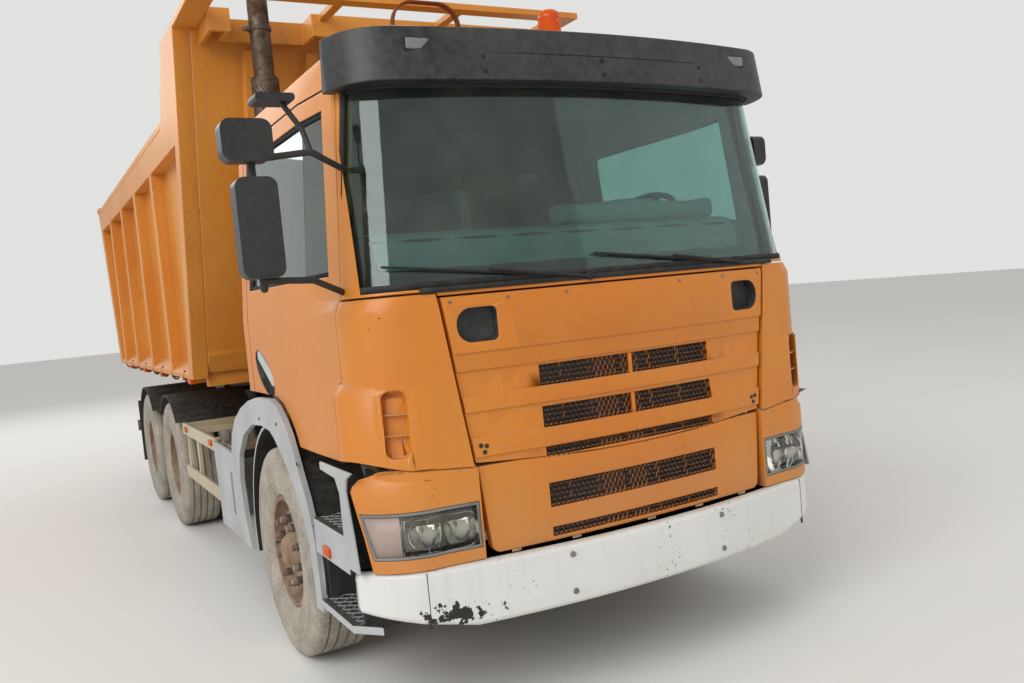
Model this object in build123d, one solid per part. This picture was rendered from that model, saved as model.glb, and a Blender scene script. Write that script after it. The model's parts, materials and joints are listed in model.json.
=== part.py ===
from build123d import *

import math
import os
from functools import lru_cache

# Dump truck with a tilting day cab and a ribbed tipping body.
# Millimetres. +X is the driver's side, the truck faces -Y, +Z is up, ground at z = 0.
# Everything is drafted with y counted back from the bumper's front face. write() moves it
# so that the origin lies on the ground under the middle of the whole truck.

# Overall
OVERALL_LENGTH = 8835
FRONT_AXLE_Y = 1497
REAR_AXLES_Y = (5134, 6529)

# Tyres and rims, 315/80R22.5
TYRE_R = 534
TYRE_W = 312
AXLE_Z = TYRE_R
RIM_R = 286
TRACK_OUTER_X = 1236
TWIN_PITCH = 338
NUT_CIRCLE_R = 167

# Chassis frame
RAIL_X = 430
RAIL_WEB = 12
RAIL_FLANGE = 80
RAIL_Z = (750, 1020)
RAIL_Y = (420, 7940)
SUBFRAME_Y = (2620, 7850)
SUBFRAME_TOP = 1140
TIP_Y = 7850
TIP_Z = 1090
TIP_PIN_R = 30
RUNNING_GAP = 0.05
MOVING_GAP = 6
TOW_Y = 8062
TOW_PIN_R = 25

# Rear axle housings
BANJO_HALF = 110

# Steering
KINGPIN_X = 930
KINGPIN_R = 25

# Bumper
BUMPER_HALF = 1232
BUMPER_Z = (444, 700)
BUMPER_BOW = (1040, 128)
BUMPER_TURN = (1160, 225)
BUMPER_SIDE_Y = 340
BUMPER_END_Y = 358
BUMPER_END_X = 820
BUMPER_END_RISE = 90

# Rear beam
UNDERRUN_Y = (7950, 8010)

# Cab: plan sections, front to rear, widths as half widths
CAB_REAR_Y = 1970
CAB_HALF = 1205
CAB_FRONT_HALF = 1193
CAB_CORNER = (1135, 150)
CAB_NOSE_Y = 45
CAB_CORNER_R = 240
CAB_TURN_Y = 345
CAB_TURN_R = 70
CAB_SHOULDER_Y = 800
PILLAR_SETBACK = 28
CAB_WALL = 50
CAB_BOTTOM_Z = 1100
BELT_Z = 1784
SETBACK_Z = (1730, 1790)
FENDER_BULGE = 38
FENDER_Z = ((690, 1094), (1098, 1450))
FENDER_CROWN = 48
HEADER_Z = 2640
ROOF_Z = 3000
ROOF_CROWN_Z = 2928
ROOF_EDGE_Z = 2778
TUMBLEHOME = 75
SCREEN_LEAN = 110
SEAM = 8
TILT_Y = 320
TILT_Z = 750
TILT_PIN_X = (431, 490)
TILT_PIN_R = 18
TILT_ARM_X = (455, 485)
CORNER_END_Y = 380
TILT_PARTING_R = 390

# Wheel arch in the cab, front edge up to its level top, as (y, z)
ARCH_LINE = ((1000, 1000), (1060, 1120), (1110, 1190), (1185, 1256), (1290, 1315), (1400, 1340))
LIP_X = (1212, 1240)
GUARD_R = (648, 664)

CAB_FLOOR_Z = (1345, 1375)
TUNNEL_Z = 1540

# Windscreen and side windows
SCREEN_Z = (1796, 2622)
SCREEN_HALF = (1122, 1092)
GLASS_T = 8

# Doors
DOOR_Y = (380, 1865)
HANDLE = (1600, 1450)
HANDLE_DISH = (190, 88)
HANDLE_LEAN = 28
HANDLE_DEPTH = 28
GRIP_SIZE = (320, 58)
GRIP_OFFSET = 30
DOOR_TOP_Z = 2655
SIDE_GLASS_Y = (505, 1790)
SIDE_GLASS_Z = (1885, 2570)

# Mirror heads on the passenger's side, as (x, y, z) spans, and the tubes that carry them
MIRROR_HEADS = (
    ((-1598, -1412), (205, 288), (2312, 2466)),
    ((-1568, -1412), (205, 288), (1886, 2256)),
    ((-1440, -1290), (285, 405), (2550, 2580)),
)
MIRROR_TUBES = (
    ((-1480, 292, 1850), (-1480, 292, 2420), 15),
    ((-1480, 292, 2330), (-1247, 300, 2359), 13),
    ((-1247, 300, 2359), (-1100, 360, 2300), 13),
    ((-1480, 292, 1880), (-1288, 300, 1869), 13),
    ((-1288, 300, 1869), (-1150, 360, 1812), 13),
    ((-1247, 300, 2359), (-1262, 330, 2450), 11),
    ((-1262, 330, 2450), (-1335, 340, 2562), 11),
)

# The same on the driver's side, folded back beside the door's window
FOLDED_HEADS = (
    ((1238, 1320), (480, 672), (2312, 2466)),
    ((1238, 1320), (480, 640), (1886, 2256)),
)
FOLDED_TUBES = (
    ((1232, 560, 1850), (1232, 560, 2420), 15),
    ((1232, 560, 2330), (1150, 440, 2340), 13),
    ((1232, 560, 1880), (1185, 440, 1876), 13),
)

# Front flap, below the windscreen
FLAP_FOOT = (1000, 760)
FLAP_HEAD = (1765, 858)
FLAP_TOP = FLAP_HEAD[0]
COWL_Z = (1778, 1796)
FLAP_STEP = 9
FLAP_FACES_Z = ((1004, 1107), (1188, 1290), (1355, 1456))
FLAP_BANDS_TOP = 1528
INLET_X = (625, 795)
INLET_Z = (1570, 1706)
INLET_DEPTH = 42
INLET_ROUND = (22, 62)
SLOT_X = (1022, 1112)
SLOT_Z = (1150, 1415)
SLOT_BARS_Z = (1240, 1322)
MESH_HALF = 450
FLAP_MESH_Z = ((1357, 1445), (1184, 1272), (1064, 1105))
LOWER_MESH_Z = ((849, 950), (727, 765))
MESH_DEPTH = 14

# Lower front panel and lamps
LOWER_PANEL_Z = (710, 1070)
LOWER_PANEL_HALF = (722, 756)
LOWER_PANEL_INSET = 18
LAMP_X = 772
LAMP_Z = (752, 938)
LAMP_REAR_Y = (244, 288)
LAMP_UNIT_Z = (706, 1104)
LAMP_UNIT_REAR = ((205, 1104), (295, 1072), (320, 1024), (276, 852), (261, 772), (249, 700))

# Entry steps
STEP_X = (970, 1244)
STEP_Y = (366, 822)
LOW_TREAD_Z = (432, 466)
HIGH_TREAD_Z = (806, 838)
LOW_TREAD_NOSE = 80
RISER_FOOT_Z = 682
STEP_WALL_TOP = 1010
STEP_SKIN = 12

# Outer flange of the steps, from the lamp unit's foot up and back under the door, as (y, z)
STEP_FLANGE = ((258, 708), (270, 772), (285, 852), (330, 1028), (308, 1080), (236, 1112), (640, 1112),
               (640, 1078), (446, 1066), (404, 1010), (404, 838), (420, 838), (420, 708))

# Tipping body
BODY_OUTER = 1265
SIDE_SHEET = (1157, 1165)
BODY_FLOOR_Z = 1400
BODY_BOTTOM_Z = 1345
BODY_TOP_Z = 3160
TOP_RAIL_Z = 2905
POST_FOOT_Y = 3430
POST_HEAD_Y = 2740
POST_HEAD_Z = 3600
TAIL_FOOT_Y = 8150
TAIL_HEAD_Y = 8790
FIRST_RIB_Y = 4300
RIB_PITCH = 1080
RIB_COUNT = 4
RIB_W = 110
SHOULDER_LINE = ((3216, 3600), (3473, 3283), (3560, 3160))
CANOPY_Y = (2050, 2440)
CANOPY_Z = (3460, 3600)
CANOPY_ARM_Z = (3560, 3600)
CANOPY_NOTCH_X = (-980, -480)
CANOPY_NOTCH_Y = 2640
BEARER_PITCH = 540
HINGE_LUG_R = 45
HINGE_PIN_R = 18

# Hoist behind the cab
HOIST_FOOT = (2450, 850)
HOIST_EYE = (2800, 2750)
HOIST_R = (95, 80, 66, 53)
TIP_ANGLE = 45


def block(x, y, z):
    """Box from a (low, high) pair on each axis."""
    size = Box(x[1] - x[0], y[1] - y[0], z[1] - z[0])
    return Pos(sum(x) / 2, sum(y) / 2, sum(z) / 2) * size


def side_prism(points, x):
    """Outline of (y, z) points carried across from x[0] to x[1]."""
    face = Plane.YZ.offset(x[0]) * make_face(Polyline(*points, close=True))
    return extrude(face, x[1] - x[0])


def front_prism(points, y):
    """Outline of (x, z) points carried back from y[0] to y[1]."""
    face = Plane.XZ.offset(-y[0]) * make_face(Polyline(*points, close=True))
    return extrude(face, y[0] - y[1])


def rod(start, end, radius):
    """Round bar between two points."""
    start, end = Vector(*start), Vector(*end)
    disc = Plane(origin=start, z_dir=end - start) * Circle(radius)
    return extrude(disc, (end - start).length)


def cross_bar(y, z, x, radius):
    """Round bar along x, from x[0] to x[1]."""
    return rod((x[0], y, z), (x[1], y, z), radius)


def mirrored(shape):
    """The same shape on the other side of the truck."""
    return mirror(shape, about=Plane.YZ)


def solids_of(*shapes):
    """All the solids of some shapes, in one list."""
    return [solid for shape in shapes for solid in shape.solids()]


def write(name, *shapes):
    """Writes one sub-part, moved so that the truck's middle is over the origin."""
    whole = Compound(children=solids_of(*shapes))
    export_step(Pos(0, -OVERALL_LENGTH / 2, 0) * whole, f"parts/{name}.step")


# Wheels

def spun(profile, side):
    """Turns an outline of (radius, depth inwards) points round a wheel's axis."""
    points = [(side * (TRACK_OUTER_X - depth), radius) for radius, depth in profile]
    face = make_face(Polyline(*points, close=True))
    return revolve(face, axis=Axis.X)


def tyre(side, depth):
    """Tyre whose outer wall is a depth inside the track's outer face."""
    w = TYRE_W
    profile = [
        (RIM_R + 2, depth + 30),
        (400, depth),
        (470, depth + 4),
        (TYRE_R - 22, depth + 20),
        (TYRE_R, depth + 50),
        (TYRE_R, depth + w - 50),
        (TYRE_R - 22, depth + w - 20),
        (470, depth + w - 4),
        (400, depth + w),
        (RIM_R + 2, depth + w - 30),
    ]
    return spun(profile, side)


def front_rim(side):
    """Rim of a front wheel, its disc dished outwards, hub and nuts fused on."""
    shell = spun(
        [(RIM_R, 32), (RIM_R, 280), (262, 280), (255, 200), (235, 120), (262, 48), (262, 32)],
        side,
    )
    disc = spun(
        [(240, 118), (215, 80), (190, 62), (60, 62), (60, 84), (190, 84), (205, 100), (236, 142)],
        side,
    )
    hub = spun([(0, 4), (62, 8), (88, 40), (110, 70), (110, 200), (0, 200)], side)
    return shell + disc + hub + nut_ring(side, 10, 8, 100)


def nut_ring(side, count, depth, length):
    """Wheel nuts round the disc, standing out from it."""
    nuts = Part()
    for index in range(count):
        turn = Rot(X=index * 360 / count)
        low = side * (TRACK_OUTER_X - depth - length)
        high = side * (TRACK_OUTER_X - depth)
        nuts += turn * rod((low, 0, NUT_CIRCLE_R), (high, 0, NUT_CIRCLE_R), 16)
    return nuts


def rear_rim(side):
    """Twin rims of a rear wheel, dished inwards, with hub and nuts."""
    outer = spun(
        [(RIM_R, 32), (RIM_R, 280), (262, 280), (250, 215), (250, 110), (262, 48), (262, 32)],
        side,
    )
    inner = spun(
        [(RIM_R, 370), (RIM_R, 618), (262, 618), (262, 600), (250, 540), (250, 435), (262, 370)],
        side,
    )
    disc = spun([(252, 200), (190, 158), (60, 158), (60, 180), (186, 180), (252, 226)], side)
    inner_disc = spun([(252, 470), (190, 200), (60, 182), (60, 204), (180, 224), (252, 500)], side)
    hub = spun([(0, 60), (96, 66), (120, 100), (128, 158), (128, 430), (0, 430)], side)
    return outer + inner + disc + inner_disc + hub + nut_ring(side, 10, 120, 60)


def at_axle(shape, y):
    """Moves a wheel from its own axis to an axle at y."""
    return Pos(0, y, AXLE_Z) * shape


# Running gear

def knuckle(side):
    """Steering knuckle: kingpin boss, stub axle and steering arm."""
    axle_z = AXLE_Z
    boss = rod((KINGPIN_X, 0, axle_z - 110), (KINGPIN_X, 0, axle_z + 110), 48)
    boss -= block((KINGPIN_X - 80, KINGPIN_X + 54), (-80, 80), (axle_z - 58, axle_z + 58))
    boss -= rod((KINGPIN_X, 0, axle_z - 120), (KINGPIN_X, 0, axle_z + 120), KINGPIN_R + RUNNING_GAP)
    web = block((KINGPIN_X + 54, KINGPIN_X + 82), (-60, 60), (axle_z - 108, axle_z + 108))
    for z in ((axle_z - 108, axle_z - 60), (axle_z + 60, axle_z + 108)):
        web += block((KINGPIN_X, KINGPIN_X + 60), (-44, 44), z)
    web -= rod((KINGPIN_X, 0, axle_z - 120), (KINGPIN_X, 0, axle_z + 120), KINGPIN_R + RUNNING_GAP)
    stub = cross_bar(0, axle_z, (KINGPIN_X + 60, TRACK_OUTER_X - 205), 46)
    arm = block((KINGPIN_X - 60, KINGPIN_X + 50), (40, 230), (axle_z - 108, axle_z - 78))
    shape = Pos(0, FRONT_AXLE_Y, 0) * (boss + web + stub + arm)
    return shape if side > 0 else mirrored(shape)


def front_axle():
    """Forged beam with its kingpins, leaf springs and a track rod."""
    z = AXLE_Z
    y = FRONT_AXLE_Y
    beam = block((-520, 520), (y - 50, y + 50), (z - 130, z - 20))
    ends = Part()
    for side in (1, -1):
        slope = front_prism(
            [(side * 500, z - 130), (side * 500, z - 20), (side * 880, z + 50),
             (side * 880, z - 52)],
            (y - 45, y + 45),
        )
        eye = rod((side * KINGPIN_X, y, z - 52), (side * KINGPIN_X, y, z + 52), 45)
        eye += block(tuple(sorted((side * 860, side * KINGPIN_X))), (y - 40, y + 40),
                     (z - 52, z + 52))
        pin = rod((side * KINGPIN_X, y, z - 110), (side * KINGPIN_X, y, z + 110), KINGPIN_R)
        ends += slope + eye + pin
    springs = Part()
    for side in (1, -1):
        low, high = sorted((side * 345, side * 425))
        leaf = side_prism(
            [(y - 800, z + 190), (y - 300, z + 20), (y, z - 20), (y + 300, z + 20),
             (y + 800, z + 190), (y + 800, z + 205), (y + 300, z + 60), (y, z + 30),
             (y - 300, z + 60), (y - 800, z + 205)],
            (low, high),
        )
        springs += leaf
    return beam + ends + springs


def rear_axles():
    """Two driven axle housings with their springs and the balance beam between them."""
    z = AXLE_Z
    shape = Part()
    for y in REAR_AXLES_Y:
        shape += block((-790, 790), (y - 60, y + 60), (z - 60, z + 60))
        shape += rod((0, y - BANJO_HALF, z), (0, y + BANJO_HALF, z), 190)
        shape += rod((0, y - BANJO_HALF - 60, z), (0, y - BANJO_HALF, z), 95)
    for side in (1, -1):
        low, high = sorted((side * 455, side * 535))
        front, rear = REAR_AXLES_Y
        middle = (front + rear) / 2
        shape += side_prism(
            [(front - 60, z + 60), (front - 60, z + 90), (middle - 150, z + 230),
             (middle + 150, z + 230), (rear + 60, z + 90), (rear + 60, z + 60),
             (middle + 120, z + 150), (middle - 120, z + 150)],
            (low, high),
        )
        shape += cross_bar(middle, z + 190, sorted((side * 445, side * 600)), 60)
    return shape


def engine():
    """The engine as one plain block between the rails."""
    return block((-330, 330), (560, 1740), (600, 1180))


def driveline():
    """Gearbox and the propeller shafts to the two driven axles."""
    gearbox = side_prism([(1745, 620), (1745, 1060), (2000, 1000), (2200, 900), (2200, 640)],
                         (-210, 210))
    first, second = REAR_AXLES_Y
    shaft = rod((0, 2190, 715), (0, first - BANJO_HALF - 64, AXLE_Z), 52)
    between = rod((0, first + BANJO_HALF, AXLE_Z), (0, second - BANJO_HALF - 60, AXLE_Z), 45)
    return solids_of(gearbox + shaft, between)


# Chassis frame

def channel(side):
    """One main rail, open towards the middle."""
    outer = sorted((side * (RAIL_X - RAIL_FLANGE), side * RAIL_X))
    inner = sorted((side * (RAIL_X - RAIL_FLANGE - 10), side * (RAIL_X - RAIL_WEB)))
    rail = block(outer, RAIL_Y, RAIL_Z)
    return rail - block(inner, (RAIL_Y[0] - 10, RAIL_Y[1] + 10), (RAIL_Z[0] + 12, RAIL_Z[1] - 12))


def frame():
    """Main rails, cross-members, the tipper's subframe, its hinge pin and the hoist's feet."""
    shape = channel(1) + channel(-1)
    for y in (470, 2270, 3300, 4250, 5831, 7250, 7880):
        shape += block((-RAIL_X + 5, RAIL_X - 5), (y - 40, y + 40), (RAIL_Z[0] + 40, RAIL_Z[1] - 40))
    for side in (1, -1):
        x = sorted((side * (RAIL_X - RAIL_FLANGE), side * RAIL_X))
        shape += block(x, SUBFRAME_Y, (RAIL_Z[1], SUBFRAME_TOP))
        shape += cross_bar(TIP_Y, TIP_Z, x, SUBFRAME_TOP - TIP_Z)
        foot_x = sorted((side * 125, side * 150))
        ear = block(foot_x, (HOIST_FOOT[0] - 70, HOIST_FOOT[0] + 70), (790, HOIST_FOOT[1] + 60))
        ear -= cross_bar(*HOIST_FOOT, (foot_x[0] - 10, foot_x[1] + 10), 25 + RUNNING_GAP)
        shape += ear
        shape += block(sorted((side * 140, side * RAIL_X)), (2400, 2500), (RAIL_Z[0], 800))
        plate_x = sorted((side * TILT_PIN_X[0], side * (TILT_PIN_X[0] + 18)))
        shape += block(plate_x, (TILT_Y - 40, RAIL_Y[0] + 18), (TILT_Z - 35, TILT_Z + 35))
        shape += block(sorted((side * (RAIL_X - 4), side * TILT_PIN_X[0] + side * 2)),
                       (RAIL_Y[0] + 2, RAIL_Y[0] + 18), (TILT_Z + 2, TILT_Z + 35))
        shape += cross_bar(TILT_Y, TILT_Z, sorted(side * x for x in TILT_PIN_X), TILT_PIN_R)
    for z in (800, 900):
        jaw = block((-60, 60), (RAIL_Y[1] - 30, TOW_Y), (z, z + 30))
        jaw += rod((0, TOW_Y, z), (0, TOW_Y, z + 30), 60)
        shape += jaw - rod((0, TOW_Y, z - 10), (0, TOW_Y, z + 40), TOW_PIN_R)
    return shape + cross_bar(TIP_Y, TIP_Z, (-500, 500), TIP_PIN_R)


# Cab

def cab_section(z, lean, narrow, setback, inset):
    """Plan outline of the cab at one height: straight sides and rear, bowed front.

    lean moves the front back, narrow draws both sides in and setback the front corners only.
    """
    side = CAB_HALF - narrow - inset
    front_side = CAB_FRONT_HALF - narrow - setback - inset
    corner_x = CAB_CORNER[0] - narrow - setback - inset
    corner_y = CAB_CORNER[1] + lean + inset
    nose = CAB_NOSE_Y + lean + inset
    rear = CAB_REAR_Y - inset
    turn_y = CAB_TURN_Y + lean + inset / 2
    edges = [
        Line((side, rear), (side, CAB_SHOULDER_Y)),
        Line((side, CAB_SHOULDER_Y), (front_side, turn_y)),
        Line((front_side, turn_y), (corner_x, corner_y)),
        ThreePointArc((corner_x, corner_y), (0, nose), (-corner_x, corner_y)),
        Line((-corner_x, corner_y), (-front_side, turn_y)),
        Line((-front_side, turn_y), (-side, CAB_SHOULDER_Y)),
        Line((-side, CAB_SHOULDER_Y), (-side, rear)),
        Line((-side, rear), (side, rear)),
    ]
    face = make_face(edges)
    corners = [v for v in face.vertices() if abs(v.Y - corner_y) < 1]
    face = fillet(corners, CAB_CORNER_R - inset)
    turns = [v for v in face.vertices() if abs(v.Y - turn_y) < 1]
    return Pos(0, 0, z) * fillet(turns, CAB_TURN_R)


def fender_section(z, drawn_in):
    """Plan outline of the driver's side fender bulge at one height."""
    out = FENDER_BULGE - drawn_in
    corner_x, corner_y = CAB_CORNER
    root = (corner_x - 250, corner_y - out)
    start = (corner_x - 150, corner_y + 6 - out)
    middle = (corner_x - 52 + out * 0.7, corner_y + 49 - out * 0.7)
    widest = (CAB_FRONT_HALF + out, CAB_TURN_Y - 10)
    side = (CAB_FRONT_HALF + out, CAB_TURN_Y + 50)
    end = (CAB_FRONT_HALF - drawn_in, CAB_TURN_Y + 130)
    inner = (corner_x - 250, CAB_TURN_Y + 130)
    edges = [Line(root, start), ThreePointArc(start, middle, widest), Line(widest, side),
             Line(side, end), Line(end, inner), Line(inner, root)]
    return Pos(0, 0, z) * make_face(edges)


def fender(low, high, inset):
    """Bulge round the cab's front corner between two heights, with a sloping crown."""
    crown = high - FENDER_CROWN - inset / 2
    sections = [fender_section(low, inset), fender_section(crown, inset),
                fender_section(high - inset, inset + FENDER_BULGE * 0.8)]
    return loft(sections, ruled=True)


@lru_cache
def cab_form(inset=0):
    """Solid form of the cab's outside, or of the same form drawn in by inset."""
    sections = [
        cab_section(CAB_BOTTOM_Z - 400, 0, 0, 0, inset),
        cab_section(SETBACK_Z[0], 0, 3, 0, inset),
        cab_section(SETBACK_Z[1], 5, 8, PILLAR_SETBACK, inset),
        cab_section(HEADER_Z, SCREEN_LEAN, TUMBLEHOME, PILLAR_SETBACK, inset),
        cab_section(ROOF_Z + 60, SCREEN_LEAN + 60, TUMBLEHOME + 45, PILLAR_SETBACK, inset),
    ]
    body = loft(sections, ruled=True)
    for low, high in FENDER_Z:
        bulge = fender(low, high, inset)
        body += bulge
        body += mirrored(bulge)
    low = CAB_BOTTOM_Z - 450
    edge = ROOF_EDGE_Z - inset
    crown = ROOF_CROWN_Z - inset
    half = CAB_HALF + 60
    roof = make_face([
        Line((-half, low), (half, low)),
        Line((half, low), (half, edge - 120)),
        Line((half, edge - 120), (1010, edge + 60)),
        ThreePointArc((1010, edge + 60), (0, crown), (-1010, edge + 60)),
        Line((-1010, edge + 60), (-half, edge - 120)),
        Line((-half, edge - 120), (-half, low)),
    ])
    body &= extrude(Plane.XZ.offset(100) * roof, -2400)
    brow = [(-50, low), (-50, HEADER_Z + 60), (330 + inset, edge + 100), (700, crown + 5),
            (2100, crown + 5), (2100, low)]
    return body & side_prism(brow, (-half, half))


def skin(region, outer, inner):
    """Layer of the cab's form between two insets, as far as a region reaches."""
    return (cab_form(outer) & region) - cab_form(inner)


def arch_cut():
    """What the front wheels' arches take out of the cab's lower edge."""
    outline = [*ARCH_LINE, (CAB_REAR_Y + 50, ARCH_LINE[-1][1]), (CAB_REAR_Y + 50, 400),
               (ARCH_LINE[0][0], 400)]
    below = block((-1400, 1400), (CORNER_END_Y, CAB_REAR_Y + 50), (400, CAB_BOTTOM_Z + 20))
    front = block((-1400, 1400), (-100, CORNER_END_Y), (400, 1000))
    return side_prism(outline, (-1400, 1400)) + below + front


def tilt_cut(gap):
    """Drum about the cab's tilt axis that parts what tilts from what stays."""
    return cross_bar(TILT_Y, TILT_Z, (-1400, 1400), TILT_PARTING_R + gap)


def door_region(gap):
    """Space of the door on the driver's side, drawn in by gap at its edges."""
    y = (DOOR_Y[0] + gap, DOOR_Y[1] - gap)
    top = DOOR_TOP_Z - gap
    return side_prism(
        [(y[0], 1000), (y[0], 1840), (y[0] + 45, top), (y[1], top), (y[1], 1000)],
        (980, 1300),
    )


def side_window(gap):
    """Side window's outline carried through the door, drawn in by gap."""
    y = (SIDE_GLASS_Y[0] + gap, SIDE_GLASS_Y[1] - gap)
    z = (SIDE_GLASS_Z[0] + gap, SIDE_GLASS_Z[1] - gap)
    return side_prism([(y[0], z[0]), (y[0] + 45, z[1]), (y[1], z[1]), (y[1], z[0])], (900, 1300))


def screen_region(gap):
    """Windscreen's outline carried back, drawn in by gap."""
    low, high = SCREEN_HALF[0] - gap, SCREEN_HALF[1] - gap
    z = (SCREEN_Z[0] + gap, SCREEN_Z[1] - gap)
    return front_prism([(-low, z[0]), (low, z[0]), (high, z[1]), (-high, z[1])], (-100, 395))


def flap_half(z):
    """Half width at a height of the line where flap and corner panels meet."""
    (low, narrow), (high, wide) = FLAP_FOOT, FLAP_HEAD
    return narrow + (z - low) * (wide - narrow) / (high - low)


def flap_region(gap):
    """Front flap's space, drawn in by gap at its edges."""
    low, high = FLAP_FOOT[0], FLAP_TOP - gap
    feet, heads = flap_half(low) - gap, flap_half(high) - gap
    return front_prism([(-feet, low), (feet, low), (heads, high), (-heads, high)], (-100, 300))


def corner_region(gap):
    """Space of the corner panel on the driver's side, drawn in by gap."""
    low, high = FLAP_FOOT[0], BELT_Z - gap
    outline = [(flap_half(low) + gap, low), (1300, low), (1300, high), (flap_half(high) + gap, high)]
    return front_prism(outline, (-100, CORNER_END_Y - gap / 4))


def cab_wall():
    """The cab's wall all round, with the wheel arches and the tilt clearance cut away."""
    wall = cab_form() - cab_form(CAB_WALL)
    wall -= arch_cut()
    return wall - tilt_cut(MOVING_GAP)


def cab_shell(wall):
    """Pillars, cowl, rear wall, floor, engine tunnel and bulkhead, as one welded shell."""
    shell = wall - screen_region(0) - flap_region(0) - corner_region(0)
    shell -= mirrored(corner_region(0))
    shell -= door_region(0)
    shell -= mirrored(door_region(0))
    shell -= block((-780, 780), (CAB_REAR_Y - 100, CAB_REAR_Y + 50), (2050, 2520))
    rear = CAB_REAR_Y - CAB_WALL + 5
    floor = block((-1200, 1200), (400, rear), CAB_FLOOR_Z)
    floor -= block((-420, 420), (300, CAB_REAR_Y - 100), (1300, 1450))
    tunnel = block((-450, 450), (390, rear), (CAB_FLOOR_Z[0], TUNNEL_Z))
    tunnel -= block((-420, 420), (300, CAB_REAR_Y - 100), (1300, TUNNEL_Z - 30))
    shell += (floor + tunnel) & cab_form(CAB_WALL + 8)
    shell += block((-1120, 1120), (rear - 60, rear + 5), (CAB_FLOOR_Z[0], CAB_FLOOR_Z[1] + 40))
    cross = block((-1200, 1200), (374, 418), (1143, COWL_Z[0] + 5)) & cab_form(CAB_WALL + 2 * MOVING_GAP)
    cross -= block((-420, 420), (300, 500), (1100, TUNNEL_Z - 30))
    cowl = block((-1200, 1200), (60, 418), COWL_Z) & cab_form(CAB_WALL - 1)
    cowl -= door_region(-MOVING_GAP)
    cowl -= mirrored(door_region(-MOVING_GAP))
    shell += cross + cowl
    for side in (1, -1):
        arm = side_prism([(TILT_Y - 34, TILT_Z), (TILT_Y + 30, TILT_Z - 10), (760, CAB_FLOOR_Z[0] + 4),
                          (640, CAB_FLOOR_Z[0] + 4)], sorted(side * x for x in TILT_ARM_X))
        arm += cross_bar(TILT_Y, TILT_Z, sorted(side * x for x in TILT_ARM_X), 36)
        shell += arm
        shell -= cross_bar(TILT_Y, TILT_Z, sorted(side * x for x in (440, 500)),
                           TILT_PIN_R + RUNNING_GAP)
    return shell


def windscreen():
    """Bowed windscreen pane set in its opening."""
    return skin(screen_region(1), 14, 14 + GLASS_T)


def corner_panels(wall):
    """Rounded panels beside the flap, each with an upright air slot."""
    panel = wall & corner_region(SEAM)
    slot = fillet(block(SLOT_X, (-100, 260), SLOT_Z).edges().filter_by(Axis.Y), 33)
    pocket = skin(slot, 0, 38)
    for z in SLOT_BARS_Z:
        pocket -= block((SLOT_X[0] - 5, SLOT_X[1] + 5), (-100, 260), (z - 3, z + 3)) & cab_form(8)
    panel = max((panel - pocket).solids(), key=lambda solid: solid.volume)
    return solids_of(panel, mirrored(panel))


def front_flap(wall):
    """Flap over the radiator: shallow steps, two air inlets and three rows of mesh."""
    flap = wall & flap_region(SEAM)
    flap -= skin(block((-900, 900), (-100, 300), (FLAP_FOOT[0], FLAP_BANDS_TOP)), 0, FLAP_STEP)
    for z in FLAP_FACES_Z:
        flap -= skin(block((-900, 900), (-100, 300), z), 0, 2 * FLAP_STEP)
    for z in FLAP_MESH_Z:
        row = block((-MESH_HALF, MESH_HALF), (-100, 200), z)
        flap -= skin(row, 0, 2 * FLAP_STEP + MESH_DEPTH)
    for side in (1, -1):
        inlet = block(sorted(side * x for x in INLET_X), (-100, 300), INLET_Z)
        uprights = inlet.edges().filter_by(Axis.Y).group_by(Axis.X)
        near, far = (uprights[0], uprights[-1]) if side > 0 else (uprights[-1], uprights[0])
        inlet = fillet(near, INLET_ROUND[0])
        far = [edge for edge in inlet.edges().filter_by(Axis.Y)
               if abs(edge.center().X) > INLET_X[1] - 1]
        flap -= skin(fillet(far, INLET_ROUND[1]), 0, INLET_DEPTH)
    return max(flap.solids(), key=lambda solid: solid.volume)


def on_handle(sketch, offset):
    """Lays a flat outline in the door handle's dish, moved across the dish by offset."""
    return Plane.YZ.offset(CAB_HALF - HANDLE_DEPTH) * (
        Pos(*HANDLE) * Rot(Z=HANDLE_LEAN) * Pos(0, offset) * sketch)


def door(wall):
    """Door on the driver's side with its window opening and the dish of its handle."""
    leaf = wall & door_region(MOVING_GAP)
    leaf -= side_window(0)
    return leaf - extrude(on_handle(Ellipse(*HANDLE_DISH), 0), 2 * HANDLE_DEPTH)


def door_handle():
    """Grip of the driver's door, standing on the dish's floor."""
    grip = extrude(on_handle(SlotOverall(*GRIP_SIZE), GRIP_OFFSET), HANDLE_DEPTH - 4)
    return grip & extrude(on_handle(Ellipse(*HANDLE_DISH), 0), 2 * HANDLE_DEPTH)


def door_glass():
    """Pane of the driver's side window."""
    return skin(side_window(1), 20, 20 + GLASS_T)


def sun_visor():
    """Deep bowed visor over the windscreen's top edge."""
    outer_low = cab_section(2606, 30, 38, PILLAR_SETBACK, -8)
    outer_high = cab_section(2822, 60, 46, PILLAR_SETBACK, -8)
    visor = loft([outer_low, outer_high], ruled=True)
    visor &= block((-1300, 1300), (-200, 420), (2606, 2822))
    return visor - cab_form(-6)


def roof_fittings():
    """Amber beacon, aerial dome and the bent guard hoop on the roof."""
    beacon = rod((100, 620, 2890), (100, 620, 2975), 62) + rod((100, 620, 2970), (100, 620, 3090), 55)
    dome = fillet(rod((-480, 640, 2880), (-480, 640, 2970), 60).edges().group_by(Axis.Z)[-1], 40)
    bend = block((-662, -318), (742, 778), (2780, 3130))
    bend = fillet(bend.edges().filter_by(Axis.Y).group_by(Axis.Z)[-1], 110)
    inside = block((-652, -328), (740, 780), (2770, 3120))
    hoop = bend - fillet(inside.edges().filter_by(Axis.Y).group_by(Axis.Z)[-1], 100)
    return [s for part in (beacon, dome, hoop) for s in (part - cab_form()).solids()]


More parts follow.
